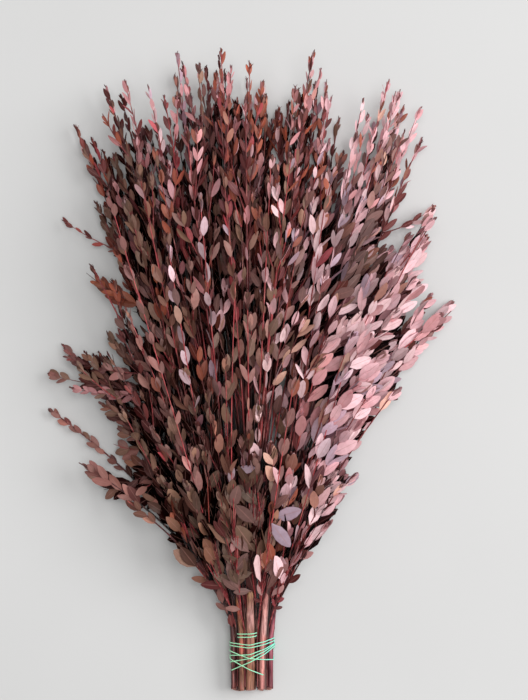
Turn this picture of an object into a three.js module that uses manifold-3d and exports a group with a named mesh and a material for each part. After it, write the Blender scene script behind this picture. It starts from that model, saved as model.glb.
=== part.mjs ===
// A bunch of dried, dyed, small-leaved eucalyptus, tied with thin green string and laid on a surface.
// Lengths are in millimetres. Seen from above, +Y runs from the cut ends to the leaf tips, +X is to the
// right and +Z is up. The origin is on the surface, in the middle of the flat foot of the cut stems.

import * as THREE from "three";
import { mergeVertices } from "three/addons/utils/BufferGeometryUtils.js";
import Module from "manifold-3d";

const wasm = await Module();
wasm.setup();

const SEED = 11;
const GAP = 0.4; // clear space kept between neighbouring pieces

// The cut stems lie in three rows in the tied bundle, the bottom row first and each from left to right.
// A stem has a radius at its cut end, the height of its fork and the tips that its leaders reach.
// Two of the top stems are ringed by a string of their own.
const ROWS = [
  [
    { radius: 3.4, fork: 58, tips: [[-214, 282, 9], [-200, 350, 7]] },
    { radius: 4.2, fork: 92, tips: [[-178, 566, 7]] },
    { radius: 4.6, fork: 100, tips: [[-82, 636, 8], [12, 628, 6]] },
    { radius: 4.2, fork: 96, tips: [[92, 590, 8], [160, 602, 9]] },
    { radius: 3.4, fork: 74, tips: [[208, 395, 7]] },
  ],
  [
    { radius: 3.6, fork: 62, tips: [[-180, 228, 40], [-166, 432, 46]] },
    { radius: 4.2, fork: 94, tips: [[-146, 602, 54], [-96, 560, 48]] },
    { radius: 3.8, fork: 98, tips: [[-34, 648, 56], [62, 648, 58]] },
    { radius: 4.4, fork: 92, tips: [[134, 560, 56], [188, 480, 50]] },
    { radius: 3.2, fork: 66, tips: [[150, 304, 42]] },
  ],
  [
    { radius: 3.2, fork: 60, tips: [[-128, 190, 62], [-124, 486, 86]] },
    { radius: 3.6, fork: 88, tips: [[-66, 570, 94]], ringed: true },
    { radius: 5.6, fork: 94, tips: [[-6, 600, 99], [40, 540, 112]], ringed: true },
    { radius: 4.6, fork: 90, tips: [[98, 512, 99], [146, 428, 82]] },
    { radius: 3.2, fork: 70, tips: [[104, 216, 64]] },
  ],
];
const ROW_CLIMB = [1e-4, 1e-3, 2e-3]; // how each row rises with the square of the height above the tie

// Heights along the bundle, measured from the middle of the foot
const CUT_Y = -13;
const CUT_UNEVEN = 4;
const FOOT_END_Y = 3;
const LIFTED_Y = 16;
const TIE_TOP_Y = 44;
const SPLAY_FROM_Y = 28;
const SPLAY = 1.1e-4; // the bundle widens with the square of the height above this
const TIE_LIFT = 2.1; // the string under the bundle lifts it off the surface

// Wood
const STEM_SIDES = 8;
const LEADER_SIDES = 5;
const LEADER_STEPS = 4;
const LEADER_END_RADIUS = 1.4;
const TWIG_FROM = 28; // distance from a fork to the first side shoot
const TWIG_PITCH = 240;
const TWIG_ROOM = 7; // free space that a side shoot needs round its wood

// Leaves
const LEAF_LENGTH = 29;
const LEAF_HALF_WIDTH = 5.8;
const LEAF_THICKNESS = 0.7;
const LEAF_ANGLE = 0.78; // between a leaf and its shoot, in radians
const PAIR_PITCH = 26;
const END_SPRAY_LENGTH = 170; // the leafy end of a leader
const RIB_HALF_WIDTH = 0.95;
const RIB_THICKNESS = 1.2;
const ROOT_LENGTH = 3;

// The string runs round the bundle over the top from right to left and back underneath.
const STRING_RADIUS = 0.6;
const STRING_GAP = 0.3;
const STRING_ROOM = 2 * (STRING_RADIUS + STRING_GAP);
const STRING_STEPS = 12; // straight steps in one turn
// A step of the winding, counted from the right side of the bundle, and the height of the string there.
const TIE_PATH = [
  [2, 5],
  [6, 28],
  [9, 30],
  [12, 43],
  [15, 37],
  [18, 39],
  [21, 33],
  [24, 40],
  [27, 34],
  [30, 36],
  [33, 27],
  [36, 20],
  [39, 23],
  [42, 34],
  [45, 33],
  [48, 36],
  [51, 23],
  [54, 14],
  [57, 22],
  [60, 37],
  [63, 27],
  [66, 23],
  [69, 27],
  [72, 34],
  [75, 19],
  [76, 9],
];
const RING_PATH = [
  [6, 43],
  [9, 45],
  [12, 46.5],
  [15, 45.3],
  [18, 44.3],
  [21, 46.5],
  [24, 49.5],
  [27, 48.8],
  [30, 47.7],
];
const STRING_LEVEL = 30; // where the way round the bundle is measured

// Numbers from 0 to 1 that are the same on every run.
function seeded(seed) {
  let state = seed >>> 0;
  return () => {
    state = (state + 0x6d2b79f5) >>> 0;
    let mixed = Math.imul(state ^ (state >>> 15), state | 1);
    mixed ^= mixed + Math.imul(mixed ^ (mixed >>> 7), mixed | 61);
    return ((mixed ^ (mixed >>> 14)) >>> 0) / 4294967296;
  };
}

const between = (draw, low, high) => low + (high - low) * draw();
const vector = (x, y, z) => new THREE.Vector3(x, y, z);

// The middle distance that two touching stems keep, with room for the string where just one is ringed.
function reachOf(a, b) {
  return a.radius + b.radius + (a.ringed === b.ringed ? GAP : STRING_ROOM);
}

// Lays each row side by side and lowers its stems until they rest on the row below.
function packStems() {
  const stems = [];
  ROWS.forEach((row, level) => {
    const below = [...stems];
    const offsets = [0];
    for (let i = 1; i < row.length; i++) {
      offsets.push(offsets[i - 1] + reachOf(row[i - 1], row[i]));
    }
    const middle = (offsets.at(-1) + row.at(-1).radius - row[0].radius) / 2;
    row.forEach((stem, i) => {
      const x = offsets[i] - middle;
      let z = stem.radius * Math.cos(Math.PI / STEM_SIDES);
      for (const other of below) {
        const across = x - other.x;
        const reach = reachOf(stem, other);
        if (Math.abs(across) < reach) {
          z = Math.max(z, other.z + Math.sqrt(reach * reach - across * across));
        }
      }
      stems.push({ ...stem, number: stems.length + 1, level, x, z });
    });
  });
  return stems;
}

// The heights between which a stem's base is straight.
function straightHeights({ fork }) {
  return [CUT_Y, FOOT_END_Y, LIFTED_Y, TIE_TOP_Y, fork];
}

// The middle of a stem's base at one of its straight heights.
function bendPoint(stem, y) {
  const above = Math.max(0, y - SPLAY_FROM_Y) ** 2;
  const lift = TIE_LIFT * THREE.MathUtils.smoothstep(y, FOOT_END_Y, LIFTED_Y);
  return vector(stem.x * (1 + SPLAY * above), y, stem.z + lift + ROW_CLIMB[stem.level] * above);
}

// The middle of a stem's base at any height y.
function basePoint(stem, y) {
  const heights = straightHeights(stem);
  const above = Math.min(Math.max(1, heights.findIndex((height) => height >= y)), heights.length - 1);
  const [low, high] = [heights[above - 1], heights[above]];
  return bendPoint(stem, low).lerp(bendPoint(stem, high), (y - low) / (high - low));
}

// A leader leaves its fork part way between the stem's heading and its tip, and bends over to the tip.
function leaderCurve(stem, tip) {
  const from = basePoint(stem, stem.fork);
  const heading = from.clone().sub(basePoint(stem, stem.fork - 10)).normalize();
  const across = vector(...tip).sub(from);
  const start = heading.multiplyScalar(0.5).addScaledVector(across.clone().normalize(), 0.5);
  const bend = from.clone().addScaledVector(start.normalize(), 0.45 * across.length());
  return new THREE.QuadraticBezierCurve3(from, bend, vector(...tip));
}

// Sideways and upward directions square to a shoot that runs along a tangent.
function frameOf(tangent, roll) {
  const side = tangent.clone().cross(vector(0, 0, 1)).normalize();
  const up = side.clone().cross(tangent);
  const normal = up.multiplyScalar(Math.cos(roll)).addScaledVector(side, Math.sin(roll));
  return { side: tangent.clone().cross(normal), normal };
}

// The shortest distance from a row of points to a polyline.
function distanceToLine(points, line) {
  let nearest = Infinity;
  const closest = vector();
  for (let i = 1; i < line.length; i++) {
    const segment = new THREE.Line3(line[i - 1], line[i]);
    for (const point of points) {
      segment.closestPointToPoint(point, true, closest);
      nearest = Math.min(nearest, closest.distanceTo(point));
    }
  }
  return nearest;
}

// A side shoot that starts on a leader, leans out and bends back towards the leader's own direction.
function twigCurve(leader, along, lean, turn, length) {
  const root = leader.curve.getPoint(along);
  const tangent = leader.curve.getTangent(along);
  const { side, normal } = frameOf(tangent, 0);
  const outward = side.multiplyScalar(Math.cos(turn)).addScaledVector(normal, Math.sin(turn));
  const heading = tangent.clone().multiplyScalar(Math.cos(lean)).addScaledVector(outward, Math.sin(lean));
  const bend = root.clone().addScaledVector(heading, 0.5 * length);
  const tip = bend.clone().addScaledVector(heading, 0.2 * length).addScaledVector(tangent, 0.3 * length);
  tip.z = Math.max(tip.z, RIB_THICKNESS);
  return new THREE.QuadraticBezierCurve3(root, bend, tip);
}

// Side shoots stand alternately left and right. One that would meet other wood turns round its leader.
function growTwigs(leaders) {
  const lines = leaders.map((leader) => ({ leader, points: leader.curve.getPoints(12) }));
  const twigs = [];
  for (const leader of leaders) {
    const reach = leader.curve.getLength();
    const bare = reach - leader.sprayLength - TWIG_FROM;
    const count = Math.ceil(bare / TWIG_PITCH);
    for (let index = 0; index < count; index++) {
      const draw = seeded(SEED + 100 * leader.number + index);
      const along = (TWIG_FROM + (bare * (index + between(draw, 0.1, 0.7))) / count) / reach;
      const lean = between(draw, 0.5, 0.68);
      const length = Math.min(100, 66 + 0.1 * along * reach) * between(draw, 0.92, 1.08);
      const side = index % 2 ? 1 : -1;
      const turn = (side > 0 ? 0 : Math.PI) + side * between(draw, -0.35, 0.35);
      for (let attempt = 0; attempt < 9; attempt++) {
        const step = 0.3 * Math.ceil(attempt / 2) * (attempt % 2 ? 1 : -1);
        const curve = twigCurve(leader, along, lean, turn + step, length);
        const points = curve.getPoints(6);
        const others = lines.filter((line) => line.leader !== leader);
        const own = points.slice(2);
        const clear =
          others.every((line) => distanceToLine(points, line.points) > TWIG_ROOM) &&
          lines.every((line) => distanceToLine(own, line.points) > TWIG_ROOM);
        if (clear) {
          twigs.push({ leader, curve, draw, length, along });
          lines.push({ leader, points });
          break;
        }
      }
    }
  }
  return twigs;
}

// A closed solid of the given faces, with alike vertices merged.
function solidOf(positions, indices) {
  const geometry = new THREE.BufferGeometry();
  geometry.setAttribute("position", new THREE.Float32BufferAttribute(positions, 3));
  geometry.setIndex(indices);
  const merged = mergeVertices(geometry, 1e-3);
  const mesh = new wasm.Mesh({
    numProp: 3,
    vertProperties: merged.attributes.position.array,
    triVerts: new Uint32Array(merged.index.array),
  });
  return new wasm.Manifold(mesh);
}

// A round rod through the given points, with one radius for each point and a flat side underneath.
function rod(points, radii, sides) {
  const positions = [];
  const indices = [];
  points.forEach((point, ring) => {
    const before = points[Math.max(0, ring - 1)];
    const after = points[Math.min(points.length - 1, ring + 1)];
    const { side, normal } = frameOf(after.clone().sub(before).normalize(), 0);
    for (let k = 0; k < sides; k++) {
      const angle = -Math.PI / 2 + ((k + 0.5) * 2 * Math.PI) / sides;
      const corner = point
        .clone()
        .addScaledVector(side, radii[ring] * Math.cos(angle))
        .addScaledVector(normal, radii[ring] * Math.sin(angle));
      positions.push(...corner);
    }
  });
  const last = (points.length - 1) * sides;
  for (let k = 0; k < sides; k++) {
    const next = (k + 1) % sides;
    for (let ring = 0; ring < points.length - 1; ring++) {
      const low = ring * sides;
      const high = low + sides;
      indices.push(low + k, low + next, high + next, low + k, high + next, high + k);
    }
    if (k > 0 && k < sides - 1) {
      indices.push(0, k + 1, k, last, last + k, last + k + 1);
    }
  }
  return solidOf(positions, indices.reverse());
}

// The cut end and trunk of a stem, up to its fork.
function stemBase(stem) {
  const draw = seeded(SEED + 7 * stem.number);
  const taper = [1, 1, 1, 0.96, 0.62];
  const points = straightHeights(stem).map((y) => bendPoint(stem, y));
  points[0].y += CUT_UNEVEN * draw();
  return rod(points, taper.map((share) => share * stem.radius), STEM_SIDES);
}

function leaderRod(leader) {
  const { curve, stem, sprayLength } = leader;
  const end = 1 - (sprayLength - 4) / curve.getLength();
  const points = [basePoint(stem, stem.fork - 6)];
  const thick = 0.4 * stem.radius + 0.8;
  const radii = [thick];
  for (let step = 0; step <= LEADER_STEPS; step++) {
    const share = step / LEADER_STEPS;
    points.push(curve.getPoint(share * end));
    radii.push(THREE.MathUtils.lerp(thick, LEADER_END_RADIUS, share));
  }
  points[1].lerp(points[2], 0.04);
  return rod(points, radii, LEADER_SIDES);
}

// Moves a point of a thin piece up, so that neither of its faces lies below the surface.
function aboveSurface(point, normal, thickness) {
  const offset = normal.clone().multiplyScalar(thickness / 2);
  point.z = Math.max(point.z, Math.abs(offset.z));
  return { top: point.clone().add(offset), bottom: point.clone().sub(offset) };
}

// A leaf's outer corners: shares of its length, of its half width to either side, and of that upwards.
const LEAF_CORNERS = [
  [0.3, 0.92, 0.3],
  [0.7, 0.72, 0.24],
  [1, 0, 0],
  [0.45, -1, 0.3],
];

// The outer corners of a leaf, whose two halves fold up from its midrib.
function leafCorners(root, axis, side, normal, length) {
  const halfWidth = (LEAF_HALF_WIDTH * length) / LEAF_LENGTH;
  return LEAF_CORNERS.map(([along, across, raised]) => {
    const point = root
      .clone()
      .addScaledVector(axis, along * length)
      .addScaledVector(side, across * halfWidth)
      .addScaledVector(normal, raised * halfWidth);
    return aboveSurface(point, normal, LEAF_THICKNESS);
  });
}

// The top faces between a leaf's outline points, of which the first and last are its root and 3 is its tip
const LEAF_FACES = [
  [0, 1, 2],
  [0, 2, 3],
  [0, 3, 5],
  [5, 3, 4],
];

// Collects the faces of one thin closed piece with a top and a bottom.
class Sheet {
  positions = [];
  indices = [];

  add({ top, bottom }) {
    this.positions.push(...top, ...bottom);
    return this.positions.length / 3 - 2;
  }

  face(a, b, c) {
    this.indices.push(a, b, c, c + 1, b + 1, a + 1);
  }

  wall(a, b) {
    this.indices.push(b, a, a + 1, b, a + 1, b + 1);
  }

  leaf(outline) {
    for (const [a, b, c] of LEAF_FACES) {
      this.face(outline[a], outline[b], outline[c]);
    }
    for (let i = 1; i < outline.length; i++) {
      this.wall(outline[i - 1], outline[i]);
    }
  }

  solid() {
    return solidOf(this.positions, this.indices);
  }
}

const placed = []; // what a new leaf has to stay clear of

function place(solid, owner) {
  const { min, max } = solid.boundingBox();
  placed.push({ solid, owner, box: new THREE.Box3(vector(...min), vector(...max)) });
}

function isClear(solid, owner) {
  const { min, max } = solid.boundingBox();
  const box = new THREE.Box3(vector(...min), vector(...max)).expandByScalar(GAP);
  return !placed.some(
    (piece) =>
      piece.owner !== owner && piece.box.intersectsBox(box) && solid.minGap(piece.solid, GAP) < GAP,
  );
}

// A leaf by itself, between the two corners of its root.
function loneLeaf(start, corners, end) {
  const sheet = new Sheet();
  const outline = [start, ...corners, end].map((corner) => sheet.add(corner));
  sheet.leaf(outline);
  sheet.wall(outline[5], outline[0]);
  return sheet.solid();
}

// Tilts that a leaf tries in turn until it is clear of everything round it.
const TILTS = [0, 0.3, -0.3, 0.6, -0.6, 0.9, -0.9];

// The corners of the first tilt of a leaf that is clear, or nothing.
function clearLeaf(start, end, axis, side, normal, length, base, owner) {
  const root = start.top.clone().add(end.bottom).multiplyScalar(0.5);
  for (const tilt of TILTS) {
    const angle = base + tilt;
    const raised = axis.clone().multiplyScalar(Math.cos(angle)).addScaledVector(normal, Math.sin(angle));
    const face = normal.clone().multiplyScalar(Math.cos(angle)).addScaledVector(axis, -Math.sin(angle));
    const corners = leafCorners(root, raised, side, face, length);
    const leaf = loneLeaf(start, corners, end);
    if (isClear(leaf, owner)) {
      place(leaf, owner);
      return corners;
    }
  }
  return null;
}

// Where the leaf pairs of a shoot stand, as distances along it.
function pairPlaces(length, first) {
  const places = [];
  for (let place = length - PAIR_PITCH * 0.72; place > first; place -= PAIR_PITCH) {
    places.unshift(place);
  }
  return places;
}

// The two edges of a shoot's rib at each end of each leaf root.
function ribOf(shoot) {
  const { curve, length, places, roll, swing } = shoot;
  const stations = [{ at: 0, pair: 0 }];
  places.forEach((place, pair) => {
    stations.push({ at: place - ROOT_LENGTH / 2, pair }, { at: place + ROOT_LENGTH / 2, pair });
  });
  stations.push({ at: length - 1, pair: places.length });
  return stations.map(({ at, pair }) => {
    const share = Math.min(1, at / length);
    const tangent = curve.getTangent(share);
    const { side, normal } = frameOf(tangent, roll + (pair % 2 ? swing : -swing));
    const middle = curve.getPoint(share);
    const halfWidth = RIB_HALF_WIDTH * (1 - 0.3 * share);
    middle.z = Math.max(middle.z, RIB_THICKNESS / 2 + halfWidth * Math.abs(side.z));
    const edge = (across) =>
      aboveSurface(middle.clone().addScaledVector(side, across * halfWidth), normal, RIB_THICKNESS);
    return { left: edge(-1), right: edge(1), side, normal, tangent, share };
  });
}

function ribSheet(stations) {
  const sheet = new Sheet();
  const left = stations.map((station) => sheet.add(station.left));
  const right = stations.map((station) => sheet.add(station.right));
  for (let i = 1; i < stations.length; i++) {
    sheet.face(left[i - 1], right[i - 1], right[i]);
    sheet.face(left[i - 1], right[i], left[i]);
  }
  sheet.wall(left[0], right[0]);
  return { sheet, left, right };
}

function bareRib(stations) {
  const { sheet, left, right } = ribSheet(stations);
  for (let i = 1; i < stations.length; i++) {
    sheet.wall(right[i - 1], right[i]);
    sheet.wall(left[i], left[i - 1]);
  }
  sheet.wall(right.at(-1), left.at(-1));
  return sheet.solid();
}

// A shoot with its leaves in opposite pairs and one at its end, as one thin closed piece.
function leafyShoot(shoot) {
  const { stations, draw, scale } = shoot;
  const { sheet, left, right } = ribSheet(stations);
  const size = (station) => LEAF_LENGTH * scale * (1 - 0.3 * station.share) * between(draw, 0.9, 1.1);
  for (let i = 1; i < stations.length; i++) {
    const low = stations[i - 1];
    const high = stations[i];
    for (const hand of [1, -1]) {
      const edge = hand > 0 ? "right" : "left";
      const ends = hand > 0 ? [right[i - 1], right[i]] : [left[i], left[i - 1]];
      const angle = LEAF_ANGLE * between(draw, 0.75, 1.25);
      const tilt = between(draw, -0.1, 0.35);
      const length = size(low);
      let corners = null;
      if (i % 2 === 0) {
        const outward = low.side.clone().multiplyScalar(hand);
        const axis = low.tangent.clone().multiplyScalar(Math.cos(angle));
        axis.addScaledVector(outward, Math.sin(angle));
        const across = outward.clone().multiplyScalar(Math.cos(angle));
        across.addScaledVector(low.tangent, -Math.sin(angle));
        corners = clearLeaf(low[edge], high[edge], axis, across, low.normal, length, tilt, shoot);
      }
      if (corners) {
        const added = corners.map((corner) => sheet.add(corner));
        sheet.leaf([ends[0], ...(hand > 0 ? added : added.reverse()), ends[1]]);
      } else {
        sheet.wall(...ends);
      }
    }
  }
  const end = stations.at(-1);
  const tip = clearLeaf(
    end.right, end.left, end.tangent, end.side, end.normal, size(end), between(draw, -0.2, 0.2), shoot,
  );
  if (tip) {
    sheet.leaf([right.at(-1), ...tip.map((corner) => sheet.add(corner)), left.at(-1)]);
  } else {
    sheet.wall(right.at(-1), left.at(-1));
  }
  return sheet.solid();
}

// A side shoot, from the middle of its leader outwards.
function sideShoot(twig) {
  const { leader, curve, length, draw, along } = twig;
  const places = pairPlaces(length, 21);
  const shoot = { leader, curve, length, places, draw, scale: 1.08 - 0.22 * along };
  shoot.roll = between(draw, -0.4, 0.4);
  shoot.swing = between(draw, 0.25, 0.45);
  shoot.stations = ribOf(shoot);
  return shoot;
}

// The leafy end of a leader.
function endShoot(leader) {
  const reach = leader.curve.getLength();
  const from = 1 - leader.sprayLength / reach;
  const part = {
    getPoint: (share) => leader.curve.getPoint(from + share * (1 - from)),
    getTangent: (share) => leader.curve.getTangent(from + share * (1 - from)),
  };
  const draw = seeded(SEED + 100 * leader.number + 99);
  const length = leader.sprayLength;
  const places = pairPlaces(length, 12);
  const shoot = { leader, curve: part, length, places, draw, scale: 0.92 };
  shoot.roll = between(draw, -0.3, 0.3);
  shoot.swing = between(draw, 0.25, 0.45);
  shoot.stations = ribOf(shoot);
  return shoot;
}

// How far the middle of a tight string lies out from the stems in one direction, at the height y.
// Near the foot it keeps clear of the slope above it.
function stringReach(stems, y, facing) {
  const level = Math.max(y, Math.min(y + 5, LIFTED_Y));
  const reaches = stems.map((stem) => {
    const { x, z } = basePoint(stem, level);
    return x * Math.cos(facing) + z * Math.sin(facing) + stem.radius;
  });
  return Math.max(...reaches) + STRING_GAP + STRING_RADIUS;
}

// The corner of the string's path between one step's direction and the next.
function stringPoint(stems, y, step) {
  const [a, b] = [step, step + 1].map((place) => (2 * Math.PI * place) / STRING_STEPS);
  const [reachA, reachB] = [stringReach(stems, y, a), stringReach(stems, y, b)];
  const x = (reachA * Math.sin(b) - reachB * Math.sin(a)) / Math.sin(b - a);
  const z = (reachB * Math.cos(a) - reachA * Math.cos(b)) / Math.sin(b - a);
  return vector(x, y, z);
}

// The four corners of the string at each point of its path, the first one away from the bundle.
function stringRings(path) {
  return path.map((point, i) => {
    const before = path[Math.max(0, i - 1)];
    const after = path[Math.min(path.length - 1, i + 1)];
    const tangent = after.clone().sub(before).normalize();
    const outward = vector(0, 1, 0).cross(tangent).normalize().multiplyScalar(STRING_RADIUS);
    const sideways = tangent.clone().cross(outward);
    return [outward, sideways, outward.clone().negate(), sideways.clone().negate()].map((offset) =>
      offset.add(point),
    );
  });
}

// A length of string through four-cornered rings.
function cord(rings) {
  const positions = rings.flat().flatMap((corner) => corner.toArray());
  const indices = [];
  const last = 4 * (rings.length - 1);
  for (let low = 0; low < last; low += 4) {
    for (let k = 0; k < 4; k++) {
      const next = (k + 1) % 4;
      indices.push(low + k, low + next, low + 4 + next, low + k, low + 4 + next, low + 4 + k);
    }
  }
  indices.push(0, 2, 1, 0, 3, 2, last, last + 1, last + 2, last, last + 2, last + 3);
  return solidOf(positions, indices);
}

// The way along the string from its first step to each of its steps.
function stringWay(stems, first, last) {
  const way = [0];
  for (let step = first + 1; step <= last; step++) {
    const [before, here] = [step - 1, step].map((place) => stringPoint(stems, STRING_LEVEL, place));
    way.push(way.at(-1) + before.distanceTo(here));
  }
  return way;
}

// The string round some stems. Its turns cross each other, so each is made by itself and then joined.
function stringRound(stems, places) {
  const first = places[0][0];
  const way = stringWay(stems, first, places.at(-1)[0]);
  const path = way.map((here, index) => {
    const above = Math.max(1, places.findIndex(([step]) => step >= first + index));
    const [[lowStep, lowY], [highStep, highY]] = [places[above - 1], places[above]];
    const [low, high] = [way[lowStep - first], way[highStep - first]];
    const y = THREE.MathUtils.lerp(lowY, highY, (here - low) / (high - low));
    return stringPoint(stems, y, first + index);
  });
  const rings = stringRings(path);
  const pieces = [];
  for (let start = 0; start < path.length - 1; start += STRING_STEPS) {
    pieces.push(cord(rings.slice(start, start + STRING_STEPS + 1)));
  }
  return wasm.Manifold.union(pieces);
}

function geometryOf(solid) {
  const { numProp, vertProperties, triVerts } = solid.getMesh();
  const geometry = new THREE.BufferGeometry();
  geometry.setAttribute("position", new THREE.BufferAttribute(vertProperties, numProp));
  geometry.setIndex(new THREE.BufferAttribute(triVerts, 1));
  geometry.computeVertexNormals();
  return geometry;
}

const leafMaterial = new THREE.MeshStandardMaterial({ color: 0x7d4a44, roughness: 0.75, metalness: 0 });
const stringMaterial = new THREE.MeshStandardMaterial({ color: 0x7fdcaa, roughness: 0.6, metalness: 0 });

const stems = packStems();
const leaders = stems.flatMap((stem) =>
  stem.tips.map((tip) => ({ stem, curve: leaderCurve(stem, tip) })),
);
leaders.forEach((leader, index) => {
  leader.number = index + 1;
  leader.sprayLength = Math.min(END_SPRAY_LENGTH, 0.5 * leader.curve.getLength());
});

const bases = stems.map(stemBase);
const rods = leaders.map(leaderRod);
const shoots = [...leaders.map(endShoot), ...growTwigs(leaders).map(sideShoot)];
bases.forEach((base) => place(base));
rods.forEach((leader) => place(leader));
shoots.forEach((shoot) => place(bareRib(shoot.stations), shoot));
for (const shoot of shoots) {
  shoot.solid = leafyShoot(shoot);
}

const bunch = new THREE.Group();
for (const stem of stems) {
  const parts = [
    bases[stem.number - 1],
    ...rods.filter((_, index) => leaders[index].stem === stem),
    ...shoots.filter((shoot) => shoot.leader.stem === stem).map((shoot) => shoot.solid),
  ];
  const mesh = new THREE.Mesh(geometryOf(wasm.Manifold.union(parts)), leafMaterial);
  mesh.name = `leafy_stem_${String(stem.number).padStart(2, "0")}`;
  bunch.add(mesh);
}
const strings = {
  tie_string: stringRound(stems, TIE_PATH),
  ring_string: stringRound(stems.filter((stem) => stem.ringed), RING_PATH),
};
for (const [name, solid] of Object.entries(strings)) {
  const mesh = new THREE.Mesh(geometryOf(solid), stringMaterial);
  mesh.name = name;
  bunch.add(mesh);
}

export default bunch;
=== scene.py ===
"""A bunch of dried, dyed, small-leaved eucalyptus, tied with thin green string, on a pale surface.

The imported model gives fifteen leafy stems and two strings. Each gets a finer piece here, built on the
same stems, leaders and side shoots. Lengths are in millimetres until a mesh is made, in metres.
"""

import math
from dataclasses import dataclass

import bpy
import numpy as np
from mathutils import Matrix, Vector


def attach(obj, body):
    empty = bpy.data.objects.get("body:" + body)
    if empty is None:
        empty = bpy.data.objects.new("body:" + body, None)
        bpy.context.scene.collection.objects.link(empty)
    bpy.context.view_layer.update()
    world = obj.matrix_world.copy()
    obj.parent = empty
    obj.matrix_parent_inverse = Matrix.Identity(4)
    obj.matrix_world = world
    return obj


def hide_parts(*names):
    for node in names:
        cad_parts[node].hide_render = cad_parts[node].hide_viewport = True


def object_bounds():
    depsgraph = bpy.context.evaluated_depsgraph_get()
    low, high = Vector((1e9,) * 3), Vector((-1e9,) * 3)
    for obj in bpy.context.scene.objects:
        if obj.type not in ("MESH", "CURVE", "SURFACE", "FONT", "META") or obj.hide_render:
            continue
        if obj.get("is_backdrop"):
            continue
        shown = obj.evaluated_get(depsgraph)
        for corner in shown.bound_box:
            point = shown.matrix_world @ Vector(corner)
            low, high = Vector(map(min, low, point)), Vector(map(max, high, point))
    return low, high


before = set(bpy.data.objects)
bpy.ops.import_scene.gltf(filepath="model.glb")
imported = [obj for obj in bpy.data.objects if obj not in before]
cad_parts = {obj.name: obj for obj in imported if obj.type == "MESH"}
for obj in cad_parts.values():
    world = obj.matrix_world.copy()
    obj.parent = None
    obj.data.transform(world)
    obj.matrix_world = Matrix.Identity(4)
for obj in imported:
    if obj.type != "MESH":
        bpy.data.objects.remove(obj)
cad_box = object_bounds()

MM = 0.001
SEED = 11

# The plan of the bunch, as in the solids
GAP = 0.4  # between neighbouring stems
# The rows of stems from the surface up, each from left to right: the radius of a stem's base, the height
# of its fork, where its leaders end, and whether the ring of string goes round it
ROWS = [
    [
        (3.4, 58, [(-214, 282, 9), (-200, 350, 7)], False),
        (4.2, 92, [(-178, 566, 7)], False),
        (4.6, 100, [(-82, 636, 8), (12, 628, 6)], False),
        (4.2, 96, [(92, 590, 8), (160, 602, 9)], False),
        (3.4, 74, [(208, 395, 7)], False),
    ],
    [
        (3.6, 62, [(-180, 228, 40), (-166, 432, 46)], False),
        (4.2, 94, [(-146, 602, 54), (-96, 560, 48)], False),
        (3.8, 98, [(-34, 648, 56), (62, 648, 58)], False),
        (4.4, 92, [(134, 560, 56), (188, 480, 50)], False),
        (3.2, 66, [(150, 304, 42)], False),
    ],
    [
        (3.2, 60, [(-128, 190, 62), (-124, 486, 86)], False),
        (3.6, 88, [(-66, 570, 94)], True),
        (5.6, 94, [(-6, 600, 99), (40, 540, 112)], True),
        (4.6, 90, [(98, 512, 99), (146, 428, 82)], False),
        (3.2, 70, [(104, 216, 64)], False),
    ],
]
ROW_CLIMB = (1e-4, 1e-3, 2e-3)  # how fast the stems of each row rise above the tie
CUT_Y = -13
CUT_UNEVEN = 4
FOOT_END_Y = 3
LIFTED_Y = 16
TIE_TOP_Y = 44
SPLAY_FROM_Y = 28
SPLAY = 1.1e-4  # how fast the stems spread above that height
TIE_LIFT = 2.1  # the tie goes under the stems
STEM_SIDES = 8
TWIG_FROM = 28
TWIG_PITCH = 240
TWIG_ROOM = 7  # from the middle of a side shoot to that of other wood
END_SPRAY_LENGTH = 170
RIB_THICKNESS = 1.2
STRING_RADIUS = 0.6
STRING_GAP = 0.3
STRING_ROOM = 2 * (STRING_RADIUS + STRING_GAP)
STRING_STEPS = 12  # in one turn
# Corners of the strings on their way: how many steps on, and how high up the bunch
TIE_PATH = [
    (2, 5), (6, 28), (9, 30), (12, 43), (15, 37), (18, 39), (21, 33), (24, 40), (27, 34), (30, 36),
    (33, 27), (36, 20), (39, 23), (42, 34), (45, 33), (48, 36), (51, 23), (54, 14), (57, 22), (60, 37),
    (63, 27), (66, 23), (69, 27), (72, 34), (75, 19), (76, 9),
]
RING_PATH = [(6, 43), (9, 45), (12, 46.5), (15, 45.3), (18, 44.3), (21, 46.5), (24, 49.5), (27, 48.8),
             (30, 47.7)]
STRING_LEVEL = 30  # the height at which the way round is measured

# How much this script adds
FINE_LEADERS = 126  # thin branches that fill the fan
SHORT_LEADERS = 48  # short branches with large leaves in its lower half
FILLER_STEMS = 16  # thin stems that come out from between the thick ones
FOOT_SHOOTS = 124  # short shoots with large leaves just above the tie
FINE_TWIG_PITCH = 34  # between the extra side shoots of a leader
FINE_TWIG_ROOM = 2.2  # from the middle of one of them to that of other wood
TOP_LEVEL = 108  # no side shoot ends above it
GROOVE_END_Y = 52  # where thin stems leave the grooves between the thick ones
BASE_SIDES = 28
SHARP_DEGREES = 80  # edges with a larger angle than this look sharp

# The leaves
PITCHES = (0.55, 0.62, 0.85)  # between the leaves of a shoot in each row, as a share of their length
PITCH_RIGHT = 0.46  # the same on the right, where the leaves are close together
LEAF_MEAN = 22  # the length of most leaves
LEAF_SLIMNESS = 0.41  # width as a share of length
LEAF_THICK = 0.45
BUD_PLACES = (2.0, 4.5, 8.0, 13.0)  # from the end of a shoot
BUD_SIZES = (0.36, 0.46, 0.6, 0.78)  # as a share of a leaf's
BUD_ANGLES = (0.5, 0.55, 0.65, 0.8)
BUD_DARKNESS = (0.75, 0.5, 0.2, 0.0)

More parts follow.
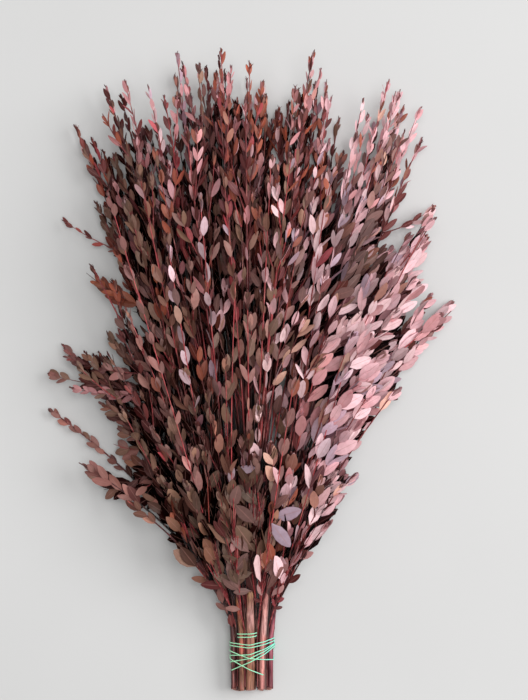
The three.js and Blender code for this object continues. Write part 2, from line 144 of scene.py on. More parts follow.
# The light among the leaves
DARKENING = 1.5  # for each layer of leaves above a place
DEEPEST = 0.012  # the share of the light that reaches the deepest places
COVER_CELL = 13
COVER_CLEAR = 4  # a place is covered by the leaves that are this much higher
COVER_TOP = 400  # above every leaf
SHADED_RECESS = (108, 442, 34)  # a recess on the right where painted shade darkens the leaves and wood: how far right and up the bunch, and its radius

# The strings
STRING_PITCH = 0.6  # between the points of a string's middle line
LAID_RADIUS = STRING_RADIUS - 0.05  # crossing turns press a little into each other
PLY_RADIUS = 0.34
PLY_OFFSET = 0.29  # from the middle line of the string to that of a ply
LAY_LENGTH = 3.4  # in which a ply goes round once

# The camera looks straight down, with the leaf tips at the top of the picture
EYE = np.array([12.6, 345.0, 2020.0])
OUTLINE_LEVEL = 20  # the height above the surface at which the outline and the picture's scale hold
PICTURE_HEIGHT = 700
MM_PER_PIXEL = 1.05

# The leaders are numbered from 1 on, and those that this script adds from these numbers on
FINE, SHORT, EDGE, OVER, LONG, FILLER = 50, 150, 200, 250, 260, 300
# The first seeds of the draws that place leaders and shoots
FINE_DRAW, EDGE_DRAW, SHORT_DRAW, FOOT_DRAW = 700, 1700, 2700, 4700
OVER_DRAW, LONG_DRAW, FILLER_DRAW, SIDE_DRAW, TWIG_DRAW = 5700, 6200, 6700, 8700, 9000
# The first seeds of the leaves of each kind of shoot
END_LEAVES, MAIN_LEAVES, FINE_LEAVES, LOW_LEAVES, SIDE_LEAVES = 1000, 5000, 20000, 50000, 70000

# The outline of the whole fan, seen from above, from the left of its foot round its tips to the right
FAN_EDGE = np.array([
    (-28, 51), (-32, 67), (-44, 98), (-56, 114), (-68, 146), (-82, 164), (-128, 180), (-154, 198),
    (-190, 220), (-184, 234), (-146, 250), (-160, 268), (-220, 284), (-220, 296), (-193, 304), (-216, 318),
    (-198, 336), (-212, 350), (-150, 366), (-146, 398), (-146, 420), (-144, 440), (-150, 458), (-162, 488),
    (-180, 540), (-172, 562), (-152, 620), (-132, 625), (-119, 582), (-107, 620), (-98, 598), (-78, 652),
    (-56, 644), (-32, 662), (-20, 634), (-2, 640), (12, 624), (28, 592), (46, 616), (60, 658),
    (70, 658), (88, 612), (98, 560), (114, 605), (126, 592), (142, 626), (156, 618), (176, 600),
    (163, 574), (180, 566), (166, 538), (148, 502), (134, 472), (150, 462), (190, 494), (184, 470),
    (174, 450), (170, 430), (190, 404), (208, 390), (200, 372), (180, 354), (166, 338), (152, 322),
    (152, 303), (132, 290), (120, 274), (112, 258), (98, 222), (88, 177), (74, 146), (46, 114),
    (25, 83), (22, 51),
], float)
# Where single thin branches end on that outline: to the right, up the bunch, and above the surface
EDGE_TIPS = [
    (-146, 474, 14), (-187, 581, 14), (-168, 566, 22), (-152, 620, 30),
    (-132, 624, 44), (-107, 618, 52), (-77, 650, 60), (-55, 643, 36), (-32, 653, 66), (-2, 638, 80),
    (11, 622, 50), (45, 614, 74), (53, 610, 36), (64, 652, 58), (115, 603, 56), (142, 624, 44),
    (155, 616, 26), (176, 598, 30), (178, 566, 18), (190, 494, 16), (180, 462, 26), (188, 402, 16),
    (209, 386, 22), (192, 376, 12), (148, 308, 20), (124, 284, 18),
]
# Sprays that leave the sides of the bunch: where each starts and ends, to the right and up the bunch,
# its height at its end, the length of its leaves, the distance between them as a share of that, its tone
SIDE_SPRAYS = [
    (-118, 318, -196, 338, 26, 16, 0.55, "mauve brown"),
    (-104, 306, -214, 320, 14, 17, 0.5, "rose brown"),
    (-108, 296, -190, 306, 30, 16, 0.55, "dusty rose"),
    (-104, 274, -160, 290, 22, 16, 0.7, "brown"),
    (-108, 286, -160, 320, 22, 15, 0.6, "brown"),
    (-102, 262, -150, 280, 16, 15, 0.6, "rose brown"),
    (-98, 252, -140, 262, 24, 17, 0.5, "brown"),
    (-90, 214, -134, 196, 30, 22, 0.45, "rose brown"),
    (-96, 244, -146, 246, 14, 24, 0.45, "rose brown"),
    (-92, 226, -156, 198, 16, 26, 0.42, "rose brown"),
    (-84, 206, -124, 188, 14, 26, 0.5, "mauve brown"),
    (-72, 188, -88, 172, 22, 20, 0.5, "brown"),
    (-44, 120, -74, 142, 20, 22, 0.4, "brown"),
    (-46, 134, -84, 158, 26, 22, 0.36, "tan brown"),
    (-54, 146, -94, 172, 18, 23, 0.36, "brown"),
    (-66, 160, -110, 204, 26, 22, 0.36, "rose brown"),
    (-76, 184, -120, 222, 18, 22, 0.36, "brown"),
    (-86, 208, -128, 236, 32, 21, 0.36, "tan brown"),
    (-62, 170, -96, 208, 36, 22, 0.36, "brown"),
    (-50, 150, -80, 184, 36, 22, 0.36, "mauve brown"),
    (-56, 150, -84, 158, 18, 22, 0.4, "rose brown"),
    (-34, 96, -60, 122, 16, 20, 0.4, "brown"),
    (-118, 442, -200, 482, 12, 13, 1.0, "maroon"),
    (-112, 386, -174, 426, 20, 21, 0.36, "rust"),
    (-112, 356, -140, 366, 12, 16, 0.5, "deep brown"),
    (-112, 340, -134, 352, 18, 14, 0.55, "deep brown"),
    (140, 466, 192, 496, 16, 18, 0.7, "maroon"),
    (138, 396, 174, 428, 18, 18, 0.6, "pink brown"),
    (124, 292, 152, 304, 20, 16, 0.8, "maroon"),
]
# The main leaders that end in loose sprays at the lower left, by number: the length of the spray, the
# length of its leaves, the distance between them as a share of that, its tone
LOOSE_SPRAYS = {
    1: (150, 16, 0.72, "rose brown"),
    2: (115, 17, 0.45, "mauve brown"),
    9: (74, 22, 0.34, "rose brown"),
    18: (46, 21, 0.4, "brown"),
}
FAN_ROOT = np.array([0.0, 40.0])
FAN_LEFT = -0.54  # the angles of the outermost thin branches, from straight up
FAN_RIGHT = 0.56
# Long thin stems: the stem at the left of the groove in which each starts, the place towards which it
# sets off, where it ends, its tone
OVER_STEMS = [
    (11, (-40, 150), (-146, 506), "mauve brown"),
    (12, (-28, 150), (-16, 420), "brown"),
    (13, (16, 150), (44, 320), "mauve brown"),
    (14, (40, 140), (96, 330), "lilac"),
]
# Where more long thin stems end that lie over the leaves on the left and in the middle
LONG_STEMS = [(-128, 388), (-112, 516), (-52, 500), (-28, 520), (-4, 402), (-26, 336), (-84, 450), (20, 540)]
LONG_STEM_TONES = ("mauve brown", "brown", "lilac", "brown")
# Single leaves at the foot, on the wood nearest to a place: how far right and up the bunch it is, their
# length, the way they point in degrees right of straight up, and their tone
FOOT_LEAVES = [
    (-28, 100, 25, -86, "deep maroon"), (-30, 96, 23, -32, "brown"), (-44, 114, 14, -30, "deep maroon"),
    (-33, 78, 18, -22, "rose brown"), (-29, 71, 14, -58, "rose brown"), (-27, 55, 15, -10, "maroon"),
    (-14, 75, 16, -80, "rose brown"), (-2, 95, 18, -98, "mauve brown"), (2, 115, 20, -105, "brown"),
    (-12, 112, 10, -60, "mauve brown"), (-16, 117, 23, 30, "mauve brown"), (-6, 115, 22, 12, "brown"),
    (2, 120, 16, -12, "brown"), (-3, 137, 28, -42, "mauve brown"), (-25, 136, 16, 14, "pink brown"),
    (6, 137, 36, -34, "brown"), (3, 168, 30, -48, "mauve brown"), (12, 157, 32, -8, "mauve brown"),
    (22, 176, 30, 75, "lavender grey"), (22, 171, 33, 145, "lavender grey"), (19, 120, 20, 6, "rust"),
    (27, 132, 23, 9, "rust"), (22, 128, 22, -14, "rust"), (8, 115, 16, 28, "rose brown"),
    (13, 89, 13, -20, "pink brown"), (27, 103, 13, 20, "pale pink"), (20, 90, 14, 48, "pink brown"),
    (26, 92, 12, 28, "pink brown"), (38, 103, 17, 48, "maroon"), (35, 114, 17, 5, "pink brown"),
    (49, 128, 17, 60, "pink brown"), (57, 138, 18, 20, "pale pink"), (56, 158, 22, 22, "tan"),
    (57, 178, 18, 10, "tan"), (14, 80, 10, -55, "deep maroon"), (18, 79, 10, -12, "crimson"),
    (22, 80, 10, 24, "deep maroon"), (26, 82, 10, 62, "crimson"), (20, 76, 9, 80, "deep maroon"),
    (62, 128, 14, 32, "maroon"), (-33, 122, 30, -40, "tan brown"), (-40, 128, 28, -28, "tan brown"),
    (-50, 150, 22, -62, "brown"), (-58, 160, 20, -42, "brown"), (-36, 137, 21, -8, "mauve brown"),
    (-22, 104, 22, -58, "brown"), (-26, 110, 22, -14, "brown"), (-20, 96, 20, -48, "mauve brown"),
    (-12, 102, 20, -30, "brown"), (-10, 126, 22, -70, "brown"), (0, 104, 20, 20, "deep maroon"),
    (10, 186, 29, -36, "brown"), (-16, 222, 21, 86, "lavender grey"), (-18, 208, 18, 8, "lilac"),
    (-19, 184, 27, 22, "mauve brown"), (-48, 200, 25, 28, "brown"), (-40, 170, 24, -20, "brown"),
]

# Colours of the dyed leaves, as they are painted on a screen, from 0 to 255, and how common each is on the
# left, in the middle, on the right and at the tips of the bunch. The pale tones are far more common on the
# right: partly the dye, and partly painted light from the window on that side.
PALETTE = [
    ("brown", (120, 90, 74), 5.5, 0.9, 0.2, 0.3),
    ("mauve brown", (137, 99, 93), 3.4, 1.0, 0.4, 1.6),
    ("deep maroon", (100, 42, 42), 1.1, 0.9, 0.9, 1.8),
    ("rust", (162, 84, 62), 0.5, 1.5, 0.4, 1.6),
    ("terracotta", (186, 126, 108), 0.15, 1.9, 0.6, 0.8),
    ("crimson", (160, 62, 70), 0.05, 0.1, 0.0, 1.2),
    ("dusty rose", (206, 144, 148), 0.25, 1.8, 1.4, 3.2),
    ("pale pink", (252, 200, 208), 0.2, 6.4, 9.0, 3.4),
    ("blush", (255, 216, 220), 0.06, 4.4, 6.0, 1.8),
    ("lavender grey", (196, 170, 188), 0.25, 0.4, 0.4, 1.2),
    ("tan", (226, 176, 156), 0.1, 3.4, 0.8, 0.3),
    ("olive gold", (142, 120, 74), 0.06, 0.02, 0.0, 0.0),
]
NAMES = [entry[0] for entry in PALETTE]
TONES = np.array([entry[1] for entry in PALETTE], float)
PALE = TONES.mean(1) > 160
ON_LEFT, IN_MIDDLE, ON_RIGHT, AT_TIPS = np.array([entry[2:] for entry in PALETTE]).T
# Where a tone is more common: how far right and up the bunch, the radius, the tone, its share
TONE_PATCHES = [
    (12, 575, 26, "rust", 3.0),
    (-156, 412, 26, "rust", 3.0),
    (60, 545, 34, "rust", 0.7),
    (56, 500, 44, "rust", 0.3),
    (24, 490, 60, "rust", 0.35),
    (16, 520, 70, "deep maroon", 0.45),
    (-110, 540, 70, "deep maroon", 0.35),
    (80, 490, 60, "pale pink", 0.7),
    (84, 284, 24, "lavender grey", 0.8),
    (108, 442, 36, "mauve brown", 1.6),
    (104, 446, 36, "lavender grey", 0.5),
    (-60, 590, 40, "lavender grey", 0.3),
    (-50, 590, 60, "dusty rose", 0.6),
    (-50, 590, 60, "crimson", 0.25),
    (-64, 140, 44, "brown", 1.5),
    (-70, 150, 34, "rust", 0.2),
]
# The tones of sprays and single leaves that are placed one by one
SPRAY_TONES = {
    "brown": (132, 90, 76),
    "mauve brown": (146, 100, 96),
    "rose brown": (154, 104, 96),
    "dusty rose": (196, 136, 140),
    "deep brown": (92, 60, 52),
    "maroon": (112, 48, 46),
    "rust": (160, 88, 64),
    "pink brown": (190, 138, 136),
    "pale rose": (240, 184, 190),
    "tan brown": (156, 104, 82),
    "lilac": (206, 178, 188),
}
DARK_TUFT = (74, 36, 38)
CRIMSON = (178, 64, 68)
BARK_TONES = {
    9: (204, 128, 122),
    10: (150, 62, 78),
    11: (112, 52, 52),
    12: (206, 140, 104),
    13: (214, 146, 112),
    14: (212, 142, 134),
    15: (194, 88, 106),
}
PLAIN_BARK = (124, 72, 62)
FORK_TONES = {12: (196, 168, 98), 13: (190, 140, 96)}
BARK_PATCHES_AND_HIGHLIGHTS = [  # on the upper side of a stem: its number, the height, half the length, the colour. The two pale pink ones, on stems 13 and 14, are painted highlights; the others are the bark's own colour
    (12, 34, 7, (226, 100, 88)),
    (12, 76, 9, (226, 86, 62)),
    (12, 92, 9, (206, 178, 104)),
    (13, 96, 9, (206, 164, 104)),
    (13, 66, 14, (226, 170, 164)),
    (13, 30, 9, (206, 120, 104)),
    (14, 60, 16, (232, 182, 174)),
    (15, 40, 14, (214, 120, 140)),
]
GROOVED = (9, 10, 13, 14, 15)  # the stems on the right, grooved like a sheaf of thin ones
CUT_WOOD = (214, 140, 124)
BRIGHTEST = (255, 218, 224)
STRING_TONES = ((178, 255, 204), (140, 250, 224))  # on the left and on the right; the change between them is painted light, from the window on the right
BARK, LEAF, CUT = 0, 1, 2  # the materials of a stem


def seeded(seed):
    """The same seeded numbers as in the solids' source."""
    state = seed & 0xFFFFFFFF

    def draw(low=0.0, high=1.0):
        nonlocal state
        state = (state + 0x6D2B79F5) & 0xFFFFFFFF
        mixed = ((state ^ (state >> 15)) * (state | 1)) & 0xFFFFFFFF
        product = ((mixed ^ (mixed >> 7)) * (mixed | 61)) & 0xFFFFFFFF
        mixed ^= (mixed + product) & 0xFFFFFFFF
        return low + (high - low) * (mixed ^ (mixed >> 14)) / 4294967296

    return draw


def unit(v):
    return v / np.linalg.norm(v, axis=-1, keepdims=True)


def smoothstep(x, low, high):
    share = np.clip((x - low) / (high - low), 0, 1)
    return share * share * (3 - 2 * share)


def bell(offset, width):
    return np.exp(-((offset / width) ** 2))


def turned(a, b, angle):
    """Two directions square to each other, both turned by an angle, the first towards the second."""
    return a * np.cos(angle) + b * np.sin(angle), b * np.cos(angle) - a * np.sin(angle)


def linear(colour):
    """A screen colour from 0 to 255 as linear light."""
    c = np.asarray(colour, float) / 255
    return np.where(c <= 0.04045, c / 12.92, ((c + 0.055) / 1.055) ** 2.4)


@dataclass
class Stem:
    radius: float
    fork: float
    tips: list
    ringed: bool
    number: int = 0
    level: int = 0
    x: float = 0
    z: float = 0


def reach_of(a, b):
    """How far apart the middles of two neighbouring stems lie."""
    return a.radius + b.radius + (GAP if a.ringed == b.ringed else STRING_ROOM)


def pack_stems():
    """Lays each row side by side and lowers its stems until they rest on the row below."""
    stems = []
    for level, row in enumerate(ROWS):
        below = list(stems)
        row = [Stem(*entry) for entry in row]
        offsets = [0]
        for a, b in zip(row, row[1:]):
            offsets.append(offsets[-1] + reach_of(a, b))
        middle = (offsets[-1] + row[-1].radius - row[0].radius) / 2
        for stem, offset in zip(row, offsets):
            stem.x = offset - middle
            stem.z = stem.radius * math.cos(math.pi / STEM_SIDES)
            for other in below:
                across, reach = stem.x - other.x, reach_of(stem, other)
                if abs(across) < reach:
                    stem.z = max(stem.z, other.z + math.sqrt(reach * reach - across * across))
            stem.number, stem.level = len(stems) + 1, level
            stems.append(stem)
    return stems


def bend_point(stem, y):
    """The middle of a stem's base where it may bend."""
    above = max(0, y - SPLAY_FROM_Y) ** 2
    lift = TIE_LIFT * smoothstep(y, FOOT_END_Y, LIFTED_Y)
    return np.array([stem.x * (1 + SPLAY * above), y, stem.z + lift + ROW_CLIMB[stem.level] * above])


def base_point(stem, y):
    """The middle of a stem's base at any height y. It is straight between a few heights."""
    heights = [CUT_Y, FOOT_END_Y, LIFTED_Y, TIE_TOP_Y, stem.fork]
    above = next((i for i, height in enumerate(heights) if i and height >= y), len(heights) - 1)
    low, high = heights[above - 1], heights[above]
    share = (y - low) / (high - low)
    return (1 - share) * bend_point(stem, low) + share * bend_point(stem, high)


class Arc:
    """A quadratic curve in space, from 0 at its start to 1 at its end."""

    def __init__(self, start, bend, end):
        self.start, self.bend, self.end = (np.asarray(p, float) for p in (start, bend, end))
        self.length = np.linalg.norm(np.diff(self.point(np.linspace(0, 1, 201)), axis=0), axis=1).sum()

    def point(self, t):
        t = np.asarray(t, float)[..., None]
        return (1 - t) ** 2 * self.start + 2 * t * (1 - t) * self.bend + t * t * self.end

    def tangent(self, t):
        t = np.asarray(t, float)[..., None]
        return unit((1 - t) * (self.bend - self.start) + t * (self.end - self.bend))

    def bent(self, shift):
        return Arc(self.start, self.bend + shift, self.end)


class LastPart:
    """The last stretch of a curve, as a curve by itself."""

    def __init__(self, curve, start):
        self.curve, self.start = curve, start

    def point(self, t):
        return self.curve.point(self.start + np.asarray(t) * (1 - self.start))

    def tangent(self, t):
        return self.curve.tangent(self.start + np.asarray(t) * (1 - self.start))


def leader_curve(stem, tip):
    """A main leader, which leaves its stem in the direction of the stem's base."""
    start = base_point(stem, stem.fork)
    heading = unit(start - base_point(stem, stem.fork - 10))
    across = np.asarray(tip) - start
    away = unit(0.5 * heading + 0.5 * unit(across))
    return Arc(start, start + 0.45 * np.linalg.norm(across) * away, tip)


def frame_of(tangent, roll):
    """Sideways and upward directions square to a shoot that runs along a tangent."""
    side = unit(np.cross(tangent, (0, 0, 1)))
    up = np.cross(side, tangent)
    roll = np.asarray(roll)[..., None]
    normal = up * np.cos(roll) + side * np.sin(roll)
    return np.cross(tangent, normal), normal


@dataclass
class Leader:
    stem: Stem
    curve: object
    number: int
    spray: float  # the length of its leafy end
    thick: float = 0  # of its wood where it starts, or nothing where that follows from its stem
    leaf: float = 0  # the length of its leaves, or nothing where that follows from the place
    pitch: float = 0  # between them, as a share of their length
    tone: str = ""
    free: bool = False  # whether its leaves may stand out of the outline
    foot: object = None  # the points of its wood below its curve

    @property
    def over(self):
        """Whether it is one of the long red stems that lie over the leaves."""
        return OVER <= self.number < FILLER


def inside_fan(points):
    """Whether points lie inside the outline of the fan, seen from the camera's place."""
    points = np.atleast_2d(points)
    if points.shape[1] == 3:
        nearness = (EYE[2] - OUTLINE_LEVEL) / (EYE[2] - points[:, 2])
        points = EYE[:2] + (points[:, :2] - EYE[:2]) * nearness[:, None]
    x, y = points.T
    inside = np.zeros(len(x), bool)
    for (x0, y0), (x1, y1) in zip(FAN_EDGE, np.roll(FAN_EDGE, -1, axis=0)):
        between = (y0 > y) != (y1 > y)
        slope = (x1 - x0) / (y1 - y0) if y1 != y0 else 0
        inside ^= between & (x < x0 + (y - y0) * slope)
    return inside


def fan_point(angle, reach):
    """The place at a distance from the fan's root in one direction."""
    return FAN_ROOT + reach * np.array([math.sin(angle), math.cos(angle)])


def fan_reach(angle):
    """How far the fan reaches from its root in one direction before it first stops."""
    r = np.arange(100, 700, 4)
    return r[max(np.argmin(inside_fan(fan_point(angle, r[:, None]))) - 1, 0)]


def angle_of(tip):
    """The direction of a place from the root of the fan, from straight up."""
    return math.atan2(tip[0] - FAN_ROOT[0], tip[1] - FAN_ROOT[1])


def fan_angle(share):
    """The direction of a branch, with fewer of them towards the sides of the fan."""
    u = 2 * share - 1
    return (FAN_LEFT + FAN_RIGHT) / 2 + (FAN_RIGHT - FAN_LEFT) / 2 * u * (0.78 + 0.22 * u * u)


def canopy(x, y):
    """How high the bunch reaches at a place, about."""
    angle = np.arctan2(x - FAN_ROOT[0], y - FAN_ROOT[1])
    edge = np.clip(np.abs(angle + 0.05) / 0.74, 0, 1)
    return 10 + (26 + 66 * smoothstep(y, 60, 330)) * (1 - edge**2)


def main_leaders(stems):
    """The leaders that the solids have."""
    number = 0
    for stem in stems:
        for tip in stem.tips:
            number += 1
            curve = leader_curve(stem, tip)
            leader = Leader(stem, curve, number, min(END_SPRAY_LENGTH, 0.5 * curve.length))
            if number in LOOSE_SPRAYS:
                leader.free = True
                leader.spray, leader.leaf, leader.pitch, leader.tone = LOOSE_SPRAYS[number]
            yield leader


def branch(leaders, number, level, angle, reach, z, draw):
    """A thin branch from the foot of the nearest leader of one row in one direction."""
    return branch_to(leaders, number, level, np.array([*fan_point(angle, reach), max(z, 5)]), draw)


def branch_to(leaders, number, level, tip, draw):
    """A thin branch from the foot of the nearest leader of one row to a place in the fan."""
    angle, reach = angle_of(tip), math.dist(tip[:2], FAN_ROOT)
    parent = min((one for one in leaders if one.stem.level == level),
                 key=lambda one: abs(angle_of(one.curve.end) - angle))
    along = draw(0.0, 0.16)
    if reach < 250:
        along *= 0.3
    start, tangent = parent.curve.point(along), parent.curve.tangent(along)
    across = tip - start
    away = unit(0.45 * tangent + 0.55 * unit(across))
    curve = Arc(start, start + 0.5 * np.linalg.norm(across) * away, tip)
    return Leader(parent.stem, curve, number, curve.length * draw(0.42, 0.62), 1.5)


def fine_leaders(leaders):
    """Thin branches that fill the fan between the leaders."""
    for index in range(FINE_LEADERS):
        draw = seeded(FINE_DRAW + index)
        angle = fan_angle((index + draw(0.1, 0.9)) / FINE_LEADERS)
        level = (0, 1, 0, 2, 0, 1, 0, 2, 0)[index % 9]
        reach = fan_reach(angle) * draw(*((0.84, 1.0), (0.74, 1.0), (0.6, 0.99))[level])
        edge = min(1, abs(angle - 0.08) / 0.75) ** 2
        z = (10, 44, 92)[level] * (1 - (0.1, 0.35, 0.5)[level] * edge) + draw(-8, 10)
        yield branch(leaders, FINE + index, level, angle, reach, z, draw)


def short_leaders(leaders):
    """Short branches with large leaves that cover the lower half of the bunch."""
    for index in range(SHORT_LEADERS):
        draw = seeded(SHORT_DRAW + index)
        angle = fan_angle(index * 0.618 % 1)
        level = (2, 1, 2, 0)[index % 4]
        reach = draw(90, 250) if level == 2 else draw(100, 220)
        z = canopy(*fan_point(angle, reach)) * (0.12, 0.5, 0.9)[level] + draw(-4, 6)
        yield branch(leaders, SHORT + index, level, angle, reach, z, draw)


def edge_leaders(leaders):
    """Thin branches that end where the outline stands out."""
    for index, tip in enumerate(EDGE_TIPS):
        draw = seeded(EDGE_DRAW + index)
        level = 0 if tip[2] < 25 else 1 if tip[2] < 58 else 2
        leader = branch_to(leaders, EDGE + index, level, np.array(tip, float), draw)
        leader.spray = min(leader.curve.length * 0.5, draw(100, 150))
        leader.free = True
        if tip[0] > 120 and tip[1] < 420:
            leader.curve = leader.curve.bent((-26, 10, 0))
            leader.spray = 0.7 * leader.curve.length
            leader.leaf = 22
            leader.pitch = 0.5
        if tip[0] > 150:
            leader.tone = "maroon" if index % 3 == 0 else "pale rose"
        yield leader


def long_stems(leaders):
    """Long thin red stems with few leaves, from the feet of the upper leaders over the other leaves."""
    for index, end in enumerate(LONG_STEMS):
        draw = seeded(LONG_DRAW + index)
        leader = branch_to(leaders, LONG + index, 2, np.array([*end, canopy(*end) + 3]), draw)
        leader.curve = leader.curve.bent((0, 0, 22))
        leader.spray = leader.curve.length * draw(0.6, 0.75)
        leader.pitch = draw(0.9, 1.3)
        leader.tone = LONG_STEM_TONES[index % 4]
        yield leader


def filler_stems(stems):
    """Thin stems that come out from between the thick ones just above the tie."""
    pairs = [(a, b) for a, b in zip(stems, stems[1:]) if a.level == b.level]
    for index in range(FILLER_STEMS):
        draw = seeded(FILLER_DRAW + index)
        a, b = pairs[-1 - index % len(pairs)]
        y = draw(40, 50)
        start = (base_point(a, y) + base_point(b, y)) / 2 + (draw(-1.5, 1.5), 0, draw(-1, 2))
        angle = start[0] / 40 + draw(-0.16, 0.16)
        end = fan_point(angle, draw(120, 300))
        tip = np.array([*end, max(6, canopy(*end) * (0.2, 0.55, 0.85)[a.level] + draw(-4, 6))])
        away = unit(0.75 * np.array([0, 1, 0.08]) + 0.25 * unit(tip - start))
        curve = Arc(start, start + 0.42 * np.linalg.norm(tip - start) * away, tip)
        yield Leader(a, curve, FILLER + index, curve.length * draw(0.35, 0.5), draw(1.1, 1.8))


def groove_point(a, b, y, radius):
    """The middle of a thin stem that lies in the groove between two stems."""
    low, high = base_point(a, y), base_point(b, y)
    across = high - low
    gap = np.linalg.norm(across)
    near, far = a.radius + radius, b.radius + radius
    along = (gap * gap + near * near - far * far) / (2 * gap)
    up = math.sqrt(max(near * near - along * along, 0))
    return low + along / gap * across + up / gap * np.array([-across[2], 0, across[0]])


def over_stems(stems):
    """Long thin red stems that lie in the grooves of the foot and over the leaves of the lower half."""
    heights = np.arange(CUT_Y + CUT_UNEVEN + 1, GROOVE_END_Y + 1, 3)
    for index, (left, way, end, tone) in enumerate(OVER_STEMS):
        draw = seeded(OVER_DRAW + index)
        a, b = stems[left - 1], stems[left]
        thick = 0.85 / (a.radius**-0.5 + b.radius**-0.5) ** 2  # it stays under the string
        foot = np.array([groove_point(a, b, height, thick) for height in heights])
        curve = Arc(foot[-1], (*way, canopy(*way) + 34), (*end, canopy(*end) + 4))
        spray = curve.length * draw(0.6, 0.7)
        yield Leader(a, curve, OVER + index, spray, thick, pitch=1.1, tone=tone, foot=foot[:-1])


@dataclass
class Shoot:
    leader: Leader
    curve: object
    length: float
    roll: float
    swing: float
    radius: float  # of its wood where it starts
    seed: int
    leaf: float = 0  # the length of its leaves, or nothing where that follows from the place
    pitch: float = 0  # between its leaves, as a share of their length
    tone: str = ""
    free: bool = False  # whether its leaves may stand out of the outline
    woody: bool = True


def twig_curve(leader, along, lean, turn, length):
    """A side shoot that leans away from its leader and bends back along it."""
    root, tangent = leader.curve.point(along), leader.curve.tangent(along)
    side, normal = frame_of(tangent, 0)
    outward = side * math.cos(turn) + normal * math.sin(turn)
    heading = tangent * math.cos(lean) + outward * math.sin(lean)
    bend = root + 0.5 * length * heading
    tip = bend + 0.2 * length * heading + 0.3 * length * tangent
    tip[2] = min(max(tip[2], RIB_THICKNESS), TOP_LEVEL)
    return Arc(root, bend, tip)


class Wood:
    """The straight pieces of all the wood so far, to keep new shoots clear of it."""

    def __init__(self, leaders):
        self.starts, self.ends, self.owners = [], [], []
        self.add_leaders(leaders)

    def add_leaders(self, leaders):
        for leader in leaders:
            self.add(leader.curve.point(np.linspace(0, 1, 13)), leader.number)

    def add(self, points, owner=0):
        self.starts.append(points[:-1])
        self.ends.append(points[1:])
        self.owners.append(np.full(len(points) - 1, owner))

    def distance(self, points, without=-1):
        starts, ends = np.concatenate(self.starts), np.concatenate(self.ends)
        keep = np.concatenate(self.owners) != without
        starts, along = starts[keep], (ends - starts)[keep]
        offset = points[:, None] - starts[None]
        share = np.clip((offset * along).sum(2) / (along * along).sum(1), 0, 1)
        return np.linalg.norm(offset - share[..., None] * along, axis=2).min()


def clear_twig(wood, leader, along, lean, turn, length, room):
    """The first turn of a side shoot round its leader that is clear of other wood, or nothing."""
    for attempt in range(9):
        step = 0.3 * math.ceil(attempt / 2) * (1 if attempt % 2 else -1)
        curve = twig_curve(leader, along, lean, turn + step, length)
        points = curve.point(np.linspace(0, 1, 7))
        if wood.distance(points, leader.number) > room and wood.distance(points[2:]) > room:
            wood.add(points)
            return curve
    return None


def main_twigs(leaders, wood):
    """The side shoots that the solids have."""
    for leader in leaders:
        reach = leader.curve.length
        bare = reach - leader.spray - TWIG_FROM
        count = math.ceil(bare / TWIG_PITCH)
        for index in range(count):
            draw = seeded(SEED + 100 * leader.number + index)
            along = (TWIG_FROM + bare * (index + draw(0.1, 0.7)) / count) / reach
            lean = draw(0.5, 0.68)
            length = min(100, 66 + 0.1 * along * reach) * draw(0.92, 1.08)
            side = 1 if index % 2 else -1
            turn = (0 if side > 0 else math.pi) + side * draw(-0.35, 0.35)
            curve = clear_twig(wood, leader, along, lean, turn, length, TWIG_ROOM)
            if curve and inside_fan(curve.point(np.linspace(0.5, 1, 6))).any():
                seed = MAIN_LEAVES + 100 * leader.number + index
                yield Shoot(leader, curve, length, draw(-0.4, 0.4), draw(0.25, 0.45), 1.1, seed)


def thinned(end, draw):
    """Whether a side shoot is left out, in the loose sprays at the lower left or at the upper right."""
    if end[0] < -104 and 160 < end[1] < 410:
        return draw() < 0.7
    return end[0] > 70 and end[1] > 480 and draw() < 0.5


def fine_twigs(leaders, wood):
    """Many more side shoots, up to the leaders' tips, that lean only a little away from them."""
    for leader in leaders:
        reach = leader.curve.length
        fine = leader.number >= FINE
        if fine and (leader.free or leader.over):
            continue
        bare = reach * 0.3 if fine else 14
        pitch = FINE_TWIG_PITCH * (1.5 if fine else 1) * (1.25 if leader.stem.level == 2 else 1)
        count = int((reach - 45 - bare) / pitch)
        for index in range(count):
            draw = seeded(TWIG_DRAW + 100 * leader.number + index)
            along = (bare + (reach - 45 - bare) * (index + draw(0.1, 0.9)) / count) / reach
            root = leader.curve.point(along)
            on_right = root[0] > 30 and root[1] < 470
            lean = draw(0.3, 0.62) if on_right else draw(0.2, 0.5)
            length = (112 - 56 * along) * draw(0.75, 1.15)
            side = 1 if index % 2 or (on_right and draw() < 0.6) else -1
            turn = (0 if side > 0 else math.pi) + draw(-1.1, 1.1)
            curve = clear_twig(wood, leader, along, lean, turn, length, FINE_TWIG_ROOM)
            if not curve or thinned(curve.end, draw):
                continue
            if inside_fan(curve.point(np.linspace(0.3, 1, 8))).mean() > 0.8:
                seed = FINE_LEAVES + 100 * leader.number + index
                yield Shoot(leader, curve, length, draw(-0.6, 0.6), draw(0.2, 0.6), 0.95, seed)


def end_sprays(leaders):
    """The leafy ends of the leaders."""
    for leader in leaders:
        draw = seeded(SEED + 100 * leader.number + 99)
        part = LastPart(leader.curve, 1 - leader.spray / leader.curve.length)
        yield Shoot(leader, part, leader.spray, draw(-0.3, 0.3), draw(0.25, 0.45) + 0.25, 0,
                    END_LEAVES + leader.number, leader.leaf, leader.pitch, leader.tone, woody=False)


